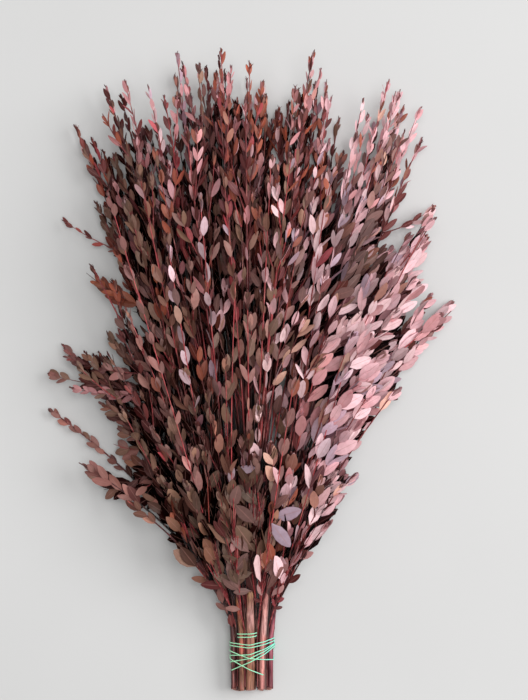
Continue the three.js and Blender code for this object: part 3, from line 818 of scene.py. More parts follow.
def foot_shoots(leaders):
    """Short shoots with large leaves that lie on the branches just above the tie."""
    roots = [(one, one.curve.point(t)) for one in leaders for t in np.linspace(0, 0.35, 30)]
    for index in range(FOOT_SHOOTS):
        draw = seeded(FOOT_DRAW + index)
        y = draw(70, 160)
        x = draw(-1, 1) * (16 + 0.85 * (y - 70)) - 3
        leader, root = min(roots, key=lambda one: abs(one[1][0] - x) + abs(one[1][1] - y) - 0.4 * one[1][2])
        angle = 0.75 * math.atan2(x, y - 30) + draw(-0.22, 0.22)
        length = draw(48, 80)
        tip = root + length * np.array([math.sin(angle), math.cos(angle), 0])
        tip[2] = root[2] + draw(6, 24)
        curve = Arc(root, (root + tip) / 2 + (0, 0, draw(6, 12)), tip)
        yield Shoot(leader, curve, length, draw(-0.5, 0.5), draw(0.3, 0.8), 0.9, LOW_LEAVES + index)


def side_sprays(leaders):
    """Sprays that leave the bunch at its sides, each from the wood nearest to where it starts."""
    ts = np.linspace(0.1, 0.9, 60)
    roots = np.array([[*one.curve.point(t), index] for index, one in enumerate(leaders) for t in ts])
    for index, (x, y, *tip, leaf, pitch, tone) in enumerate(SIDE_SPRAYS):
        draw = seeded(SIDE_DRAW + index)
        away = np.hypot(roots[:, 0] - x, roots[:, 1] - y) + 0.5 * np.abs(roots[:, 2] - tip[2] - 8)
        *root, owner = roots[np.argmin(away)]
        curve = Arc(root, np.add(root, tip) / 2 + (0, -9, 5), tip)
        yield Shoot(leaders[int(owner)], curve, curve.length, draw(-0.3, 0.3), 0.2, 0.85,
                    SIDE_LEAVES + index, leaf, pitch, tone, free=True)


def tone_weights(x, y):
    """How common each tone is at a place in the bunch."""
    # Pale tones grow common towards the right: partly the dye, partly painted light
    right = smoothstep(x - 0.15 * (y - 190), -34, 76)
    weights = ON_LEFT * (1 - right) ** 2 + IN_MIDDLE * 2 * right * (1 - right) + ON_RIGHT * right**2
    tips = smoothstep(y, 410, 560) * (1 - 0.65 * right)
    weights = weights / weights.sum() * (1 - tips) + AT_TIPS / AT_TIPS.sum() * tips
    dull = (1 - smoothstep(y, 230, 360)) * (1 - smoothstep(x, 8, 52)) + smoothstep(-x, 90, 130)
    weights = weights * (1 - 0.9 * min(dull, 1) * PALE)
    for patch_x, patch_y, radius, name, share in TONE_PATCHES:
        near = math.exp(-((x - patch_x) ** 2 + (y - patch_y) ** 2) / radius**2)
        weights[NAMES.index(name)] += near * share
    return weights / weights.sum()


def leaf_length_at(x, y):
    """Leaves are long near the foot and on the lower right, and short in the loose sprays at the left."""
    low = 1 - smoothstep(y, 130, 270)
    right = smoothstep(x, 10, 90) * (1 - smoothstep(y, 400, 540))
    length = LEAF_MEAN + np.maximum(9 * low, 7 * right) - 5 * smoothstep(y, 420, 640)
    loose = smoothstep(-x, 96, 130) * smoothstep(y, 236, 270) * (1 - smoothstep(y, 390, 430))
    return length * (1 - 0.25 * loose)


def picked(leaves, chosen):
    """Some of the leaves. Leaves are kept as a column for each of their properties."""
    return {name: values[chosen] for name, values in leaves.items()}


def joined(batches):
    """Several lots of leaves as one."""
    return {name: np.concatenate([batch[name] for batch in batches]) for name in batches[0]}


def shoot_tints(shoot, rng, x, y, count):
    """Tints of the leaves of a shoot: most are close to its own tone, some to another of the place."""
    weights = tone_weights(x, y)
    own = TONES[rng.choice(len(TONES), p=weights)]
    if shoot.tone:
        own = np.array(SPRAY_TONES[shoot.tone], float)
    other = TONES[rng.choice(len(TONES), size=count, p=weights)]
    mixed = 0.22 + 0.25 * smoothstep(x, -10, 60) + 0.15 * smoothstep(y, 420, 520)
    mix = np.where(rng.random(count) < mixed, 0.85, 0.12)[:, None]
    lit = rng.uniform(0.84, 1.12, count) + 0.34 * (rng.random(count) < 0.07)
    return (own * (1 - mix) + other * mix) * lit[:, None]


def grow_leaves(shoot):
    """Opposite pairs of leaves along a shoot, smaller towards its tip, and dark buds at its end."""
    rng = np.random.default_rng(shoot.seed)
    x, y, _ = shoot.curve.point(0.5)
    left = 1 - smoothstep(x - 0.15 * (y - 190), -15, 105)
    dense = PITCH_RIGHT + (PITCHES[shoot.leader.stem.level] - PITCH_RIGHT) * left
    leaf = shoot.leaf or leaf_length_at(x, y)
    first = 12 if shoot.woody else 4
    body = np.arange(shoot.length - 0.8 * leaf, first, -leaf * (shoot.pitch or dense))
    tufts = len(BUD_PLACES) if shoot.leaf < 20 else 0
    places = np.concatenate([shoot.length - np.array(BUD_PLACES[:tufts]), body])
    buds = 2 * tufts
    count = 2 * len(places)
    share = np.repeat(np.clip(places / shoot.length, 0, 1), 2)
    share[buds:] = np.clip(share[buds:] + rng.normal(0, 1.2, count - buds) / shoot.length, 0, 1)
    hand = np.tile([1.0, -1.0], count // 2)[:, None]
    swap = np.where(np.repeat(np.arange(count // 2), 2) % 2, 1, -1)
    root, tangent = shoot.curve.point(share), shoot.curve.tangent(share)
    if shoot.leaf:
        swing, loose, angles, roam = 0.15, 0.15, (0.2, 0.55), 0.2
        size = np.full(count, shoot.leaf)
    else:
        swing, loose, angles, roam = shoot.swing, 0.3 + 0.25 * left, (0.08, 0.46), 0.28 + 0.2 * left
        size = leaf_length_at(root[:, 0], root[:, 1])
    side, normal = frame_of(tangent, shoot.roll + swap * swing + rng.normal(0, loose, count))
    size = size * (1 - 0.22 * share**2) * rng.uniform(0.72, 1.14, count)
    angle = rng.uniform(*angles, count) * (1 - 0.3 * share**2)
    tilt = rng.normal(0.06, 0.2, count)[:, None]
    spin = rng.normal(0, roam, count)[:, None]
    size[:buds] *= np.repeat(BUD_SIZES[:tufts], 2)
    angle[:buds] *= np.repeat(BUD_ANGLES[:tufts], 2)
    axis, across = turned(tangent, side * hand, angle[:, None])
    axis, face = turned(axis, normal, tilt)
    across, face = turned(across, face, spin)
    combed = 0.32 * smoothstep(root[:, 0], 15, 100) * (1 - smoothstep(root[:, 1], 430, 540))
    axis = unit(axis + combed[:, None] * (1, -0.2, 0))
    keep = rng.random(count) > 0.05 + 0.1 * left
    if not shoot.leader.free and not shoot.free:
        keep &= inside_fan(root + axis * (0.92 * size)[:, None])
    keep[:buds] = True
    slimness = LEAF_SLIMNESS * (1 - 0.26 * smoothstep(y, 340, 500))
    tint = shoot_tints(shoot, rng, x, y, count)
    dark = np.zeros((count, 1))
    dark[:buds, 0] = np.repeat(BUD_DARKNESS[:tufts], 2)
    tint = tint * (1 - dark) + np.array(DARK_TUFT) * dark
    leaves = dict(
        root=root,
        axis=axis,
        across=across,
        face=face,
        size=size,
        width=size * slimness / 2 * rng.uniform(0.82, 1.2, count),
        fold=rng.normal(0.16, 0.16, count),
        curl=rng.normal(-0.06, 0.13, count),
        twist=rng.normal(0, 0.25, count),
        wave=rng.uniform(0, 0.08, count),
        phase=rng.random(count),
        tint=linear(np.clip(tint, 0, BRIGHTEST)),
    )
    return picked(leaves, keep)


def leaf_middles(leaves):
    """The middle of each leaf."""
    return leaves["root"] + 0.5 * leaves["size"][:, None] * leaves["axis"]


def hiding(leaves, single):
    """Which leaves lie over a single leaf of the foot."""
    here, there = leaf_middles(leaves), leaf_middles(single)
    away = np.hypot(*(here[:, None, :2] - there[None, :, :2]).transpose(2, 0, 1))
    return ((away < 0.5 * single["size"]) & (here[:, None, 2] > there[:, 2] - 1)).any(1)


def foot_leaves(stems, leaders):
    """The single leaves at the foot, over all wood near them, and their stalks with their stems' numbers."""
    spots = [(*base_point(stem, y), stem.radius, stem.number)
             for stem in stems for y in np.arange(20, stem.fork, 2)]
    spots += [(*leader.curve.point(t), 2.0, leader.stem.number)
              for leader in leaders for t in np.linspace(0, 0.5, 60)]
    spots = np.array(spots)
    rng = np.random.default_rng(77)
    tones = SPRAY_TONES | dict(zip(NAMES, TONES))
    leaves, stalks = [], []
    for x, y, size, heading, name in FOOT_LEAVES:
        away = np.hypot(spots[:, 0] - x, spots[:, 1] - y)
        best = spots[np.argmin(np.where(away < 6, away - 100 - spots[:, 2], away))]
        turn = math.radians(heading + rng.normal(0, 5))
        raised = 0.12 + 0.3 * math.cos(turn) + rng.normal(0, 0.05)
        level = math.cos(raised)
        axis = np.array([math.sin(turn) * level, math.cos(turn) * level, math.sin(raised)])
        across, face = frame_of(axis, rng.normal(0, 0.2))
        root = best[:3] + (0, 0, 0.8 * best[3])
        for share in (0.3, 0.6, 0.9):
            place = root + share * size * axis
            near = np.hypot(spots[:, 0] - place[0], spots[:, 1] - place[1]) < 5
            if near.any():
                root[2] += max(0, spots[near, 2].max() + 2 - place[2])
        tone = np.array(tones[name], float)
        shade = 1.05 if tone.mean() > 150 else 0.96
        leaf = dict(
            root=root,
            axis=axis,
            across=across,
            face=face,
            size=size,
            width=size * rng.uniform(0.2, 0.24),
            fold=rng.normal(0.1, 0.1),
            curl=rng.normal(-0.05, 0.1),
            twist=rng.normal(0, 0.2),
            wave=rng.uniform(0, 0.08),
            phase=rng.random(),
            tint=linear(tone * rng.uniform(0.8, 0.96) * shade),
        )
        leaves.append({name: np.array([value], float) for name, value in leaf.items()})
        stalks.append((int(best[4]), best[:3], root))
    return joined(leaves), stalks


class Cover:
    """How much leaf lies above any place in the bunch."""

    def __init__(self, batches):
        spots = np.concatenate([leaf_middles(leaves) for leaves in batches])
        areas = np.concatenate([leaves["size"] * leaves["width"] * 1.3 for leaves in batches])
        self.layers = []
        for shift in ((0, 0), (0.5, 0), (0, 0.5), (0.5, 0.5)):
            rank = self.column(spots, shift) - spots[:, 2]
            order = np.argsort(rank)
            self.layers.append((shift, rank[order], np.append(0, np.cumsum(areas[order]))))

    def column(self, points, shift):
        return np.floor(points[:, :2] / COVER_CELL + shift) @ (1e6, 1e3)

    def above(self, points):
        """How many layers of leaves lie above each point, about."""
        cover = np.zeros(len(points))
        for shift, rank, total in self.layers:
            column = self.column(points, shift)
            higher = np.searchsorted(rank, column - points[:, 2] - COVER_CLEAR)
            cover += (total[higher] - total[np.searchsorted(rank, column - COVER_TOP)]) / COVER_CELL**2 / 4
        return cover

    def darken(self, points, tints):
        """Tints with painted light: the light that reaches them. The light under leaves is less, and redder,
        and less again in the recess on the right.
        """
        x, y, _ = points.T
        spared = 0.6 * smoothstep(x, -34, 30) + 0.1 * smoothstep(x, 60, 150) + 0.6 * smoothstep(x, 130, 180)
        loss = DARKENING * (1.32 - 0.85 * tints.mean(1)) * np.maximum(self.above(points) - spared, 0) ** 1.4
        loss = loss * (1 + 0.9 * (1 - smoothstep(y, 170, 260)) + 0.4 * smoothstep(x, 0, 60))
        # Painted shade in the recess on the right
        right, up, radius = SHADED_RECESS
        painted_recess_shade = 1 - 0.45 * np.exp(-((x - right) ** 2 + 0.5 * (y - up) ** 2) / radius**2)
        light = DEEPEST + (1 - DEEPEST) * np.exp(-loss[:, None] * (0.87, 1.25, 1.2))
        return tints * light * painted_recess_shade[:, None]


def keep_above(leaves):
    """Turns leaves that would reach below the surface up, until they lie on it."""
    root, axis, across, face, size, width = (
        leaves[name] for name in ("root", "axis", "across", "face", "size", "width")
    )
    lift = np.maximum(axis[:, 2], (1 - root[:, 2]) / size)
    axis = unit(np.column_stack([axis[:, :2], np.clip(lift, -1, 0.95)]))
    room = np.maximum(root[:, 2] + 0.45 * size * axis[:, 2] - 0.6, 0.1)
    across = across - axis * (across * axis).sum(1)[:, None]
    across[:, 2] = np.clip(across[:, 2], -room / width, room / width)
    across = unit(across - axis * (across * axis).sum(1)[:, None])
    upper = np.cross(axis, across)
    upper *= np.sign((upper * face).sum(1))[:, None]
    return axis, across, upper


def leaf_template(along, halves):
    """Places (along, across, side) and faces of a thin closed leaf that ends in a point."""
    rows = len(along)
    columns = np.linspace(-1, 1, 2 * halves + 1)
    places, top, bottom = [], {}, {}
    for i, u in enumerate(along):
        for j, v in enumerate(columns):
            inner = 0 < j < 2 * halves
            top[i, j] = len(places)
            places.append((u, v, 1 if inner else 0))
            bottom[i, j] = len(places) if inner else top[i, j]
            if inner:
                places.append((u, v, -1))
    tip = len(places)
    places.append((1, 0, 0))
    quads, triangles = [], []
    for j in range(2 * halves):
        for i in range(rows - 1):
            quads.append((top[i, j], top[i, j + 1], top[i + 1, j + 1], top[i + 1, j]))
            quads.append((bottom[i, j], bottom[i + 1, j], bottom[i + 1, j + 1], bottom[i, j + 1]))
        triangles.append((top[rows - 1, j], top[rows - 1, j + 1], tip))
        triangles.append((bottom[rows - 1, j], tip, bottom[rows - 1, j + 1]))
        end = list(dict.fromkeys((top[0, j + 1], top[0, j], bottom[0, j], bottom[0, j + 1])))
        (quads if len(end) == 4 else triangles).append(tuple(end))
    return np.array(places, float), np.array(quads).reshape(-1, 4), np.array(triangles)


BIG_LEAF = leaf_template((0, 0.08, 0.27, 0.52, 0.76, 0.93), 2)
SMALL_LEAF = leaf_template((0, 0.1, 0.36, 0.66, 0.88), 1)
DEEP_LEAF = leaf_template((0, 0.22, 0.68), 1)


def half_width(u):
    """The outline of a leaf: a short stalk, an even blade and a point."""
    blade = np.clip((u - 0.05) / 0.95, 0, 1)
    shape = blade**0.64 * (1 - blade) ** 0.7 / 0.396
    return np.maximum(shape, 0.08 * (u < 0.5))


def leaf_meshes(leaves, template):
    """Vertices, faces, tints and leaf coordinates of many leaves at once."""
    places, quads, triangles = template
    u, v, layer = places.T
    axis, across, face = keep_above(leaves)
    size, width, fold, curl, wave, twist, phase = (
        leaves[name][:, None] for name in ("size", "width", "fold", "curl", "wave", "twist", "phase")
    )
    out = v * half_width(u) * width
    wave = wave * np.abs(out) * np.sin(2 * np.pi * (2.2 * u + phase))
    bend = curl * size * u**2
    thick = LEAF_THICK / 2 * layer * (1 - 0.3 * v * v) * np.where(u < 0.1, 1.3, 1)
    upwards, sideways = turned(fold * np.abs(out), out, twist * u)
    upwards = upwards + wave + bend + thick
    points = (
        leaves["root"][:, None]
        + axis[:, None] * (size * u * (1 - 0.12 * np.abs(curl) * u))[..., None]
        + across[:, None] * sideways[..., None]
        + face[:, None] * upwards[..., None]
    )
    z = points[..., 2]
    points[..., 2] = np.where(z > 1, z, 0.3 + 0.7 * np.exp(np.minimum(z - 1, 0) / 0.7))
    count, each = len(size), len(places)
    offsets = (np.arange(count) * each)[:, None, None]
    flipped = (np.linalg.det(np.stack([axis, across, face], axis=1)) < 0)[:, None, None]
    quads = np.where(flipped, quads[:, ::-1], quads) + offsets
    triangles = np.where(flipped, triangles[:, ::-1], triangles) + offsets
    tints = np.repeat(leaves["tint"], each, axis=0)
    coords = np.tile(np.column_stack([u, v, 0 * u]), (count, 1))
    return points.reshape(-1, 3), quads.reshape(-1, 4), triangles.reshape(-1, 3), tints, coords


class Build:
    """Collects the vertices and faces of one piece."""

    def __init__(self):
        self.points, self.tints, self.coords = [], [], []
        self.faces = {4: [], 3: []}
        self.kinds = {4: [], 3: []}
        self.count = 0

    def add(self, points, quads, triangles, tints, coords, kind, triangle_kinds=None):
        """Adds faces of one material, kind. Its triangles may have materials of their own."""
        kinds = (kind, kind if triangle_kinds is None else triangle_kinds)
        for faces, face_kinds in zip((quads, triangles), kinds):
            self.faces[faces.shape[1]].append(faces + self.count)
            self.kinds[faces.shape[1]].append(np.broadcast_to(face_kinds, len(faces)))
        self.points.append(points)
        self.tints.append(tints)
        self.coords.append(coords)
        self.count += len(points)

    def piece(self, name, materials):
        """All that was collected, as one object."""
        faces = [face for sides in (4, 3) for some in self.faces[sides] for face in some.tolist()]
        mesh = bpy.data.meshes.new(name)
        mesh.from_pydata(np.concatenate(self.points) * MM, [], faces)
        mesh.polygons.foreach_set("material_index", np.concatenate(self.kinds[4] + self.kinds[3]))
        mesh.shade_smooth()
        tints = np.concatenate(self.tints)
        tint = mesh.attributes.new("tint", "FLOAT_COLOR", "POINT")
        tint.data.foreach_set("color", np.column_stack([tints, np.ones(len(tints))]).ravel())
        place = mesh.attributes.new("place", "FLOAT_VECTOR", "POINT")
        place.data.foreach_set("vector", np.concatenate(self.coords).ravel())
        mesh.validate()
        mesh.set_sharp_from_angle(angle=math.radians(SHARP_DEGREES))
        for material in materials:
            mesh.materials.append(material)
        piece = bpy.data.objects.new(name, mesh)
        bpy.context.collection.objects.link(piece)
        return piece


def tube(build, points, radii, sides, tint, kind, foot_kind=None):
    """A round, closed, tapering rod. tint is one colour, or one for each point or for each vertex."""
    points, radii = np.asarray(points, float), np.asarray(radii, float)
    tangents = unit(np.gradient(points, axis=0))
    normals = [unit(np.cross(np.cross(tangents[0], (0.02, 0.1, 1)), tangents[0]))]
    for tangent in tangents[1:]:
        normals.append(unit(normals[-1] - tangent * (normals[-1] * tangent).sum()))
    normals = np.array(normals)
    sideways = np.cross(tangents, normals)
    turn = np.arange(sides) * 2 * np.pi / sides
    rings = len(points)
    radii = radii if radii.ndim == 2 else radii[:, None] * np.ones(sides)
    around = turned(normals[:, None], sideways[:, None], turn[:, None])[0]
    skin = points[:, None] + around * radii[..., None]
    skin[..., 2] = np.maximum(skin[..., 2], 0.02)
    index = np.arange(rings * sides).reshape(rings, sides)
    after = np.roll(index, -1, axis=1)
    quads = np.stack([index[:-1], after[:-1], after[1:], index[1:]], axis=-1).reshape(-1, 4)
    vertices = np.concatenate([skin.reshape(-1, 3), points[[0, -1]]])
    caps = [(rings * sides, after[0, k], index[0, k]) for k in range(sides)]
    caps += [(rings * sides + 1, index[-1, k], after[-1, k]) for k in range(sides)]
    tint = np.asarray(tint, float)
    if tint.ndim < 3:
        tint = np.broadcast_to(tint, (rings, 3))[:, None]
    tints = np.broadcast_to(tint, (rings, sides, 3))
    tints = np.concatenate([tints.reshape(-1, 3), tints[[0, -1], 0]])
    cap_kinds = np.repeat((kind if foot_kind is None else foot_kind, kind), sides)
    build.add(vertices, quads, np.array(caps), tints, 0 * vertices, kind, cap_kinds)


def build_base(build, stem):
    """The woody foot of a stem, with leaf scars and a cut end. Returns the tone of its upper end."""
    rng = np.random.default_rng(100 + stem.number)
    cut = CUT_Y + CUT_UNEVEN * seeded(SEED + 7 * stem.number)() - 3
    heights = np.concatenate([[cut, cut + 0.5], np.arange(cut + 3, stem.fork - 1, 2.5), [stem.fork + 3]])
    points = np.array([base_point(stem, y) for y in heights])
    taper = np.interp(heights, [TIE_TOP_Y, stem.fork - 4, stem.fork + 3], [0.97, 0.8, 0.45])
    heights = heights[:, None]
    turn = np.arange(BASE_SIDES) * 2 * np.pi / BASE_SIDES
    radii = (stem.radius * taper)[:, None] * np.ones(BASE_SIDES)
    where = rng.uniform(0, 2 * np.pi, 6)[:, None, None] + rng.normal(0, 0.006, 6)[:, None, None] * heights
    grooves = np.exp(6 * (np.cos(turn - where) - 1)).sum(0).clip(0, 1)
    radii *= 1 - (0.24 if stem.number in GROOVED else 0.05) * grooves
    for k, phase in enumerate(rng.uniform(0, 2 * np.pi, 4)):
        radii *= 1 + 0.014 * np.sin((k + 2) * turn + phase + heights * 0.05 * (k - 1.5))
    for scar in rng.uniform(cut + 10, stem.fork - 8, 3):
        where = rng.uniform(0, 2 * np.pi)
        radii *= 1 + 0.16 * (bell(heights - scar, 2.2) * np.exp(4 * (np.cos(turn - where) - 1)))
    radii[0] *= 0.95
    slants = (rng.uniform(0.15, 0.4), rng.uniform(-0.25, 0.25))
    tone = linear(BARK_TONES.get(stem.number, PLAIN_BARK))
    streaks = sum(np.sin((k + 2) * turn + phase) / (k + 1) for k, phase in enumerate(rng.uniform(0, 6.3, 5)))
    # Random streaks of tone round the stem; it is darker along its grooves, painted shade where they are cut
    # deep
    tint = tone * np.exp(0.3 * streaks[:, None]) * (1 - 0.6 * grooves[..., None])
    # Patches of the bark's own colour and painted highlights, strongest on the upper side
    for number, height, half, colour in BARK_PATCHES_AND_HIGHLIGHTS:
        if number == stem.number:
            share = bell(heights - height, half) * (0.5 + 0.5 * np.cos(turn - 0.4))
            tint = tint + 0.85 * share[..., None] * (linear(colour) - tint)
    # Painted shade: the stems of the top row are darker on their undersides and on the sides that face their
    # neighbours
    if stem.level == 2:
        beside = np.sin(turn) * (0 if 11 < stem.number < 15 else 1 if stem.number == 11 else -1)
        tint = tint * (0.1 + 0.9 * smoothstep(np.cos(turn) + np.maximum(beside, 0), 0.0, 0.85))[:, None]
    tube(build, points, radii, BASE_SIDES, np.clip(tint, 0, 1), BARK, foot_kind=CUT)
    slant_cut(build.points[-1], slants, stem)
    return linear(FORK_TONES[stem.number]) if stem.number in FORK_TONES else tone


def slant_cut(vertices, slants, stem):
    """Cuts the foot of a stem on a slant, the upper side shorter, as shears leave it."""
    for ring in range(4):
        rows = np.arange(ring * BASE_SIDES, (ring + 1) * BASE_SIDES)
        if ring == 0:
            rows = np.append(rows, len(vertices) - 2)
        low = vertices[rows, 2] - vertices[rows, 2].min()
        aside = vertices[rows, 0] - stem.x
        shift = slants[0] * low + slants[1] * (aside + stem.radius * np.sign(slants[1]))
        vertices[rows, 1] += np.maximum(shift, 0) * (1 - ring / 4)


def build_leader(build, leader, tone, cover):
    """A leader's wood. The main ones start inside the foot of their stem, the fine ones on a main one."""
    rng = np.random.default_rng(leader.number)
    t = np.linspace(0.0, 1, 32 if leader.thick else 46)
    points = leader.curve.point(t)
    red = linear(CRIMSON) * rng.choice((0.2, 0.35, 0.6, 1.0) if leader.thick else (0.25, 0.4, 0.6, 0.9))
    if leader.number >= FILLER:
        red *= 0.5
    if leader.foot is not None:
        points = np.concatenate([leader.foot, points])
        below = np.full(len(leader.foot), leader.thick)
        radii = np.concatenate([below, leader.thick + (0.5 - leader.thick) * t**0.6])
        # Painted shade: darker low down, where they lie in the grooves of the foot
        tints = linear(CRIMSON) * np.interp(points[:, 1], (40, 90), (0.35, 1.2))[:, None]
    elif leader.thick:
        if leader.over:
            red = linear(CRIMSON) * rng.uniform(0.7, 1.2)
        radii = leader.thick + (0.5 - leader.thick) * t**0.6
        tints = tone + (red - tone) * smoothstep(t, -0.1, 0.15)[:, None]
    else:
        stem = leader.stem
        points = np.concatenate([[base_point(stem, stem.fork - 16), base_point(stem, stem.fork - 7)],
                                 points[1:]])
        thick = 0.38 * stem.radius + 0.75
        radii = np.concatenate([[0.7 * thick, thick], thick + (0.55 - thick) * t[1:] ** 0.75])
        redness = np.concatenate([[0, 0.1], smoothstep(t[1:], 0.02, 0.45)])[:, None]
        tints = tone + (red - tone) * redness
    above = points[:, 1] > 60
    tints[above] = cover.darken(points[above], tints[above])
    # Painted shade: the wood of all but the long red stems is darker lower down, deep in the bunch
    if not leader.over:
        tints = tints * (0.25 + 0.75 * smoothstep(points[:, 1], 130, 330))[:, None]
    tube(build, points, radii, 6 if leader.thick else 8, tints, BARK)


def build_twig(build, shoot, cover):
    """A side shoot's wood."""
    rng = np.random.default_rng(shoot.seed + 7)
    count = max(6, int(shoot.length / 8))
    t = np.linspace(0, 1, count)
    points = shoot.curve.point(t)
    tints = cover.darken(points, linear(CRIMSON) * rng.uniform(0.25, 1.0) * np.ones((count, 1)))
    tube(build, points, shoot.radius * (1 - 0.72 * t), 5, tints, BARK)


def build_stem(stem, leaders, shoots, leaves, stalks, cover):
    """All the wood and leaves of one stem."""
    build = Build()
    tone = build_base(build, stem)
    for leader in leaders:
        if leader.stem is stem:
            build_leader(build, leader, tone, cover)
    for shoot in shoots:
        if shoot.leader.stem is stem and shoot.woody:
            build_twig(build, shoot, cover)
    for number, low, high in stalks:
        if number == stem.number and high[2] - low[2] > 2:
            middle = (low + high) / 2 + (0.6, -0.6, 0)
            tube(build, [low, middle, high], [0.7, 0.6, 0.5], 5, 0.5 * linear(CRIMSON), BARK)
    middles = leaf_middles(leaves)
    leaves["tint"] = cover.darken(middles, leaves["tint"])
    layers = cover.above(middles)
    big = (leaves["size"] > 15) & (layers < 1)
    deep = layers > 2.2
    for chosen, template in ((big, BIG_LEAF), (~big & ~deep, SMALL_LEAF), (deep, DEEP_LEAF)):
        if chosen.any():
            build.add(*leaf_meshes(picked(leaves, chosen), template), LEAF)
    return build


def input_of(shader, **values):
    """Sets inputs of a node. An underscore stands for a space in an input's name."""
    for name, value in values.items():
        shader.inputs[name.replace("_", " ")].default_value = value


class Nodes:
    """Short calls for making and joining shader nodes."""

    def __init__(self, name):
        self.material = bpy.data.materials.new(name)
        self.material.use_nodes = True
        self.tree = self.material.node_tree
        self.shader = self.tree.nodes["Principled BSDF"]

    def node(self, kind, **settings):
        made = self.tree.nodes.new("ShaderNode" + kind)
        for name, value in settings.items():
            setattr(made, name, value)
        return made

    def link(self, out, into):
        self.tree.links.new(out, into)

    def attribute(self, name):
        return self.node("Attribute", attribute_name=name)

    def noise(self, scale, vector=None, detail=3, stretch=None):
        made = self.node("TexNoise")
        input_of(made, Scale=scale, Detail=detail)
        if vector is None:
            vector = self.node("TexCoord").outputs["Object"]
        if stretch is not None:
            mapping = self.node("Mapping")
            mapping.inputs["Scale"].default_value = stretch
            self.link(vector, mapping.inputs["Vector"])
            vector = mapping.outputs["Vector"]
        self.link(vector, made.inputs["Vector"])
        return made.outputs["Fac"]

    def ramp(self, value, low, high, out_low=0.0, out_high=1.0):
        made = self.node("MapRange")
        input_of(made, From_Min=low, From_Max=high, To_Min=out_low, To_Max=out_high)
        self.link(value, made.inputs["Value"])
        return made.outputs["Result"]

    def mix(self, factor, a, b, blend="MIX"):
        made = self.node("Mix", data_type="RGBA", blend_type=blend)
        for name, value in (("Factor", factor), ("A", a), ("B", b)):
            socket = next(s for s in made.inputs if s.name == name and s.enabled)
            if isinstance(value, bpy.types.NodeSocket):
                self.link(value, socket)
            elif name == "Factor":
                socket.default_value = value
            else:
                socket.default_value = (*value, 1)
        return next(s for s in made.outputs if s.enabled)

    def math(self, operation, a, b=None):
        made = self.node("Math", operation=operation)
        for socket, value in zip(made.inputs, (a, b)):
            if isinstance(value, bpy.types.NodeSocket):
                self.link(value, socket)
            elif value is not None:
                socket.default_value = value
        return made.outputs[0]

    def bump(self, height, strength, distance):
        made = self.node("Bump")
        input_of(made, Strength=strength, Distance=distance)
        self.link(height, made.inputs["Height"])
        self.link(made.outputs["Normal"], self.shader.inputs["Normal"])


def leaf_material():
    """Waxy dried leaves: mottled and blotched, with a pale rib, a dark rim and faint veins."""
    m = Nodes("dried_leaf")
    tint = m.attribute("tint").outputs["Color"]
    place = m.node("SeparateXYZ")
    m.link(m.attribute("place").outputs["Vector"], place.inputs[0])
    along, across = place.outputs[0], m.math("ABSOLUTE", place.outputs[1])
    mottle = m.ramp(m.noise(220, detail=5), 0.3, 0.7)
    shaded = m.mix(m.ramp(mottle, 0, 1, 0.0, 0.32), tint, (0.55, 0.42, 0.4), "MULTIPLY")
    blotch = m.ramp(m.noise(60, detail=2), 0.55, 0.75, 0, 0.35)
    blotched = m.mix(blotch, shaded, (1.35, 1.15, 1.1), "MULTIPLY")
    rib = m.ramp(across, 0.0, 0.1, 0.5, 0)
    ribbed = m.mix(rib, blotched, linear((170, 120, 112)))
    rim = m.ramp(across, 0.86, 1.0, 0, 0.5)
    rimmed = m.mix(rim, ribbed, (0.6, 0.42, 0.42), "MULTIPLY")
    m.link(rimmed, m.shader.inputs["Base Color"])
    m.link(m.ramp(mottle, 0, 1, 0.42, 0.62), m.shader.inputs["Roughness"])
    # Less specular on darker tints, among them those darkened by painted shade deep in the bunch
    lightness = m.node("SeparateColor")
    m.link(tint, lightness.inputs[0])
    m.link(m.ramp(lightness.outputs[0], 0.01, 0.12, 0.0, 0.32), m.shader.inputs["Specular IOR Level"])
    veins = m.node("TexWave", wave_type="BANDS", bands_direction="DIAGONAL")
    input_of(veins, Scale=3.0, Distortion=0.6)
    slanted = m.node("CombineXYZ")
    m.link(along, slanted.inputs[0])
    m.link(m.math("MULTIPLY", across, -0.35), slanted.inputs[1])
    m.link(slanted.outputs[0], veins.inputs["Vector"])
    height = m.math("ADD", m.math("MULTIPLY", veins.outputs["Fac"], 0.4), m.noise(900, detail=2))
    m.bump(height, 0.35, 0.0002)
    return m.material


def bark_material():
    """Bark with dark and pale streaks along it and warm patches."""
    m = Nodes("bark")
    tint = m.attribute("tint").outputs["Color"]
    streak = m.ramp(m.noise(700, stretch=(1, 0.05, 1), detail=5), 0.4, 0.62)
    streaked = m.mix(m.ramp(streak, 0, 1, 0, 0.85), tint, (0.34, 0.24, 0.26), "MULTIPLY")
    pale = m.ramp(m.noise(420, stretch=(1, 0.06, 1), detail=4), 0.55, 0.7, 0, 0.55)
    flushed = m.mix(pale, streaked, linear((206, 132, 124)))
    patch = m.ramp(m.noise(60, stretch=(1, 0.5, 1), detail=3), 0.6, 0.72, 0, 0.6)
    warmed = m.mix(patch, flushed, linear((186, 84, 70)))
    m.link(warmed, m.shader.inputs["Base Color"])
    input_of(m.shader, Roughness=0.5)
    m.bump(m.noise(900, stretch=(1, 0.08, 1), detail=4), 0.7, 0.0005)
    return m.material


def cut_material():
    """The pale wood of a cut end."""
    m = Nodes("cut_wood")
    rings = m.noise(500, detail=4)
    ringed = m.mix(m.ramp(rings, 0.35, 0.7, 0, 0.6), linear(CUT_WOOD), (0.30, 0.12, 0.09))
    m.link(ringed, m.shader.inputs["Base Color"])
    input_of(m.shader, Roughness=0.8)
    m.bump(rings, 0.5, 0.0005)
    return m.material


def string_material():
    """Green string, worn paler in places."""
    m = Nodes("green_string")
    tint = m.attribute("tint").outputs["Color"]
    worn = m.mix(m.ramp(m.noise(300, detail=3), 0.4, 0.7, 0, 0.5), tint, linear((206, 244, 214)))
    m.link(worn, m.shader.inputs["Base Color"])
    input_of(m.shader, Roughness=0.55, Sheen_Weight=0.2)
    m.bump(m.noise(2600, detail=2), 0.4, 0.0002)
    return m.material


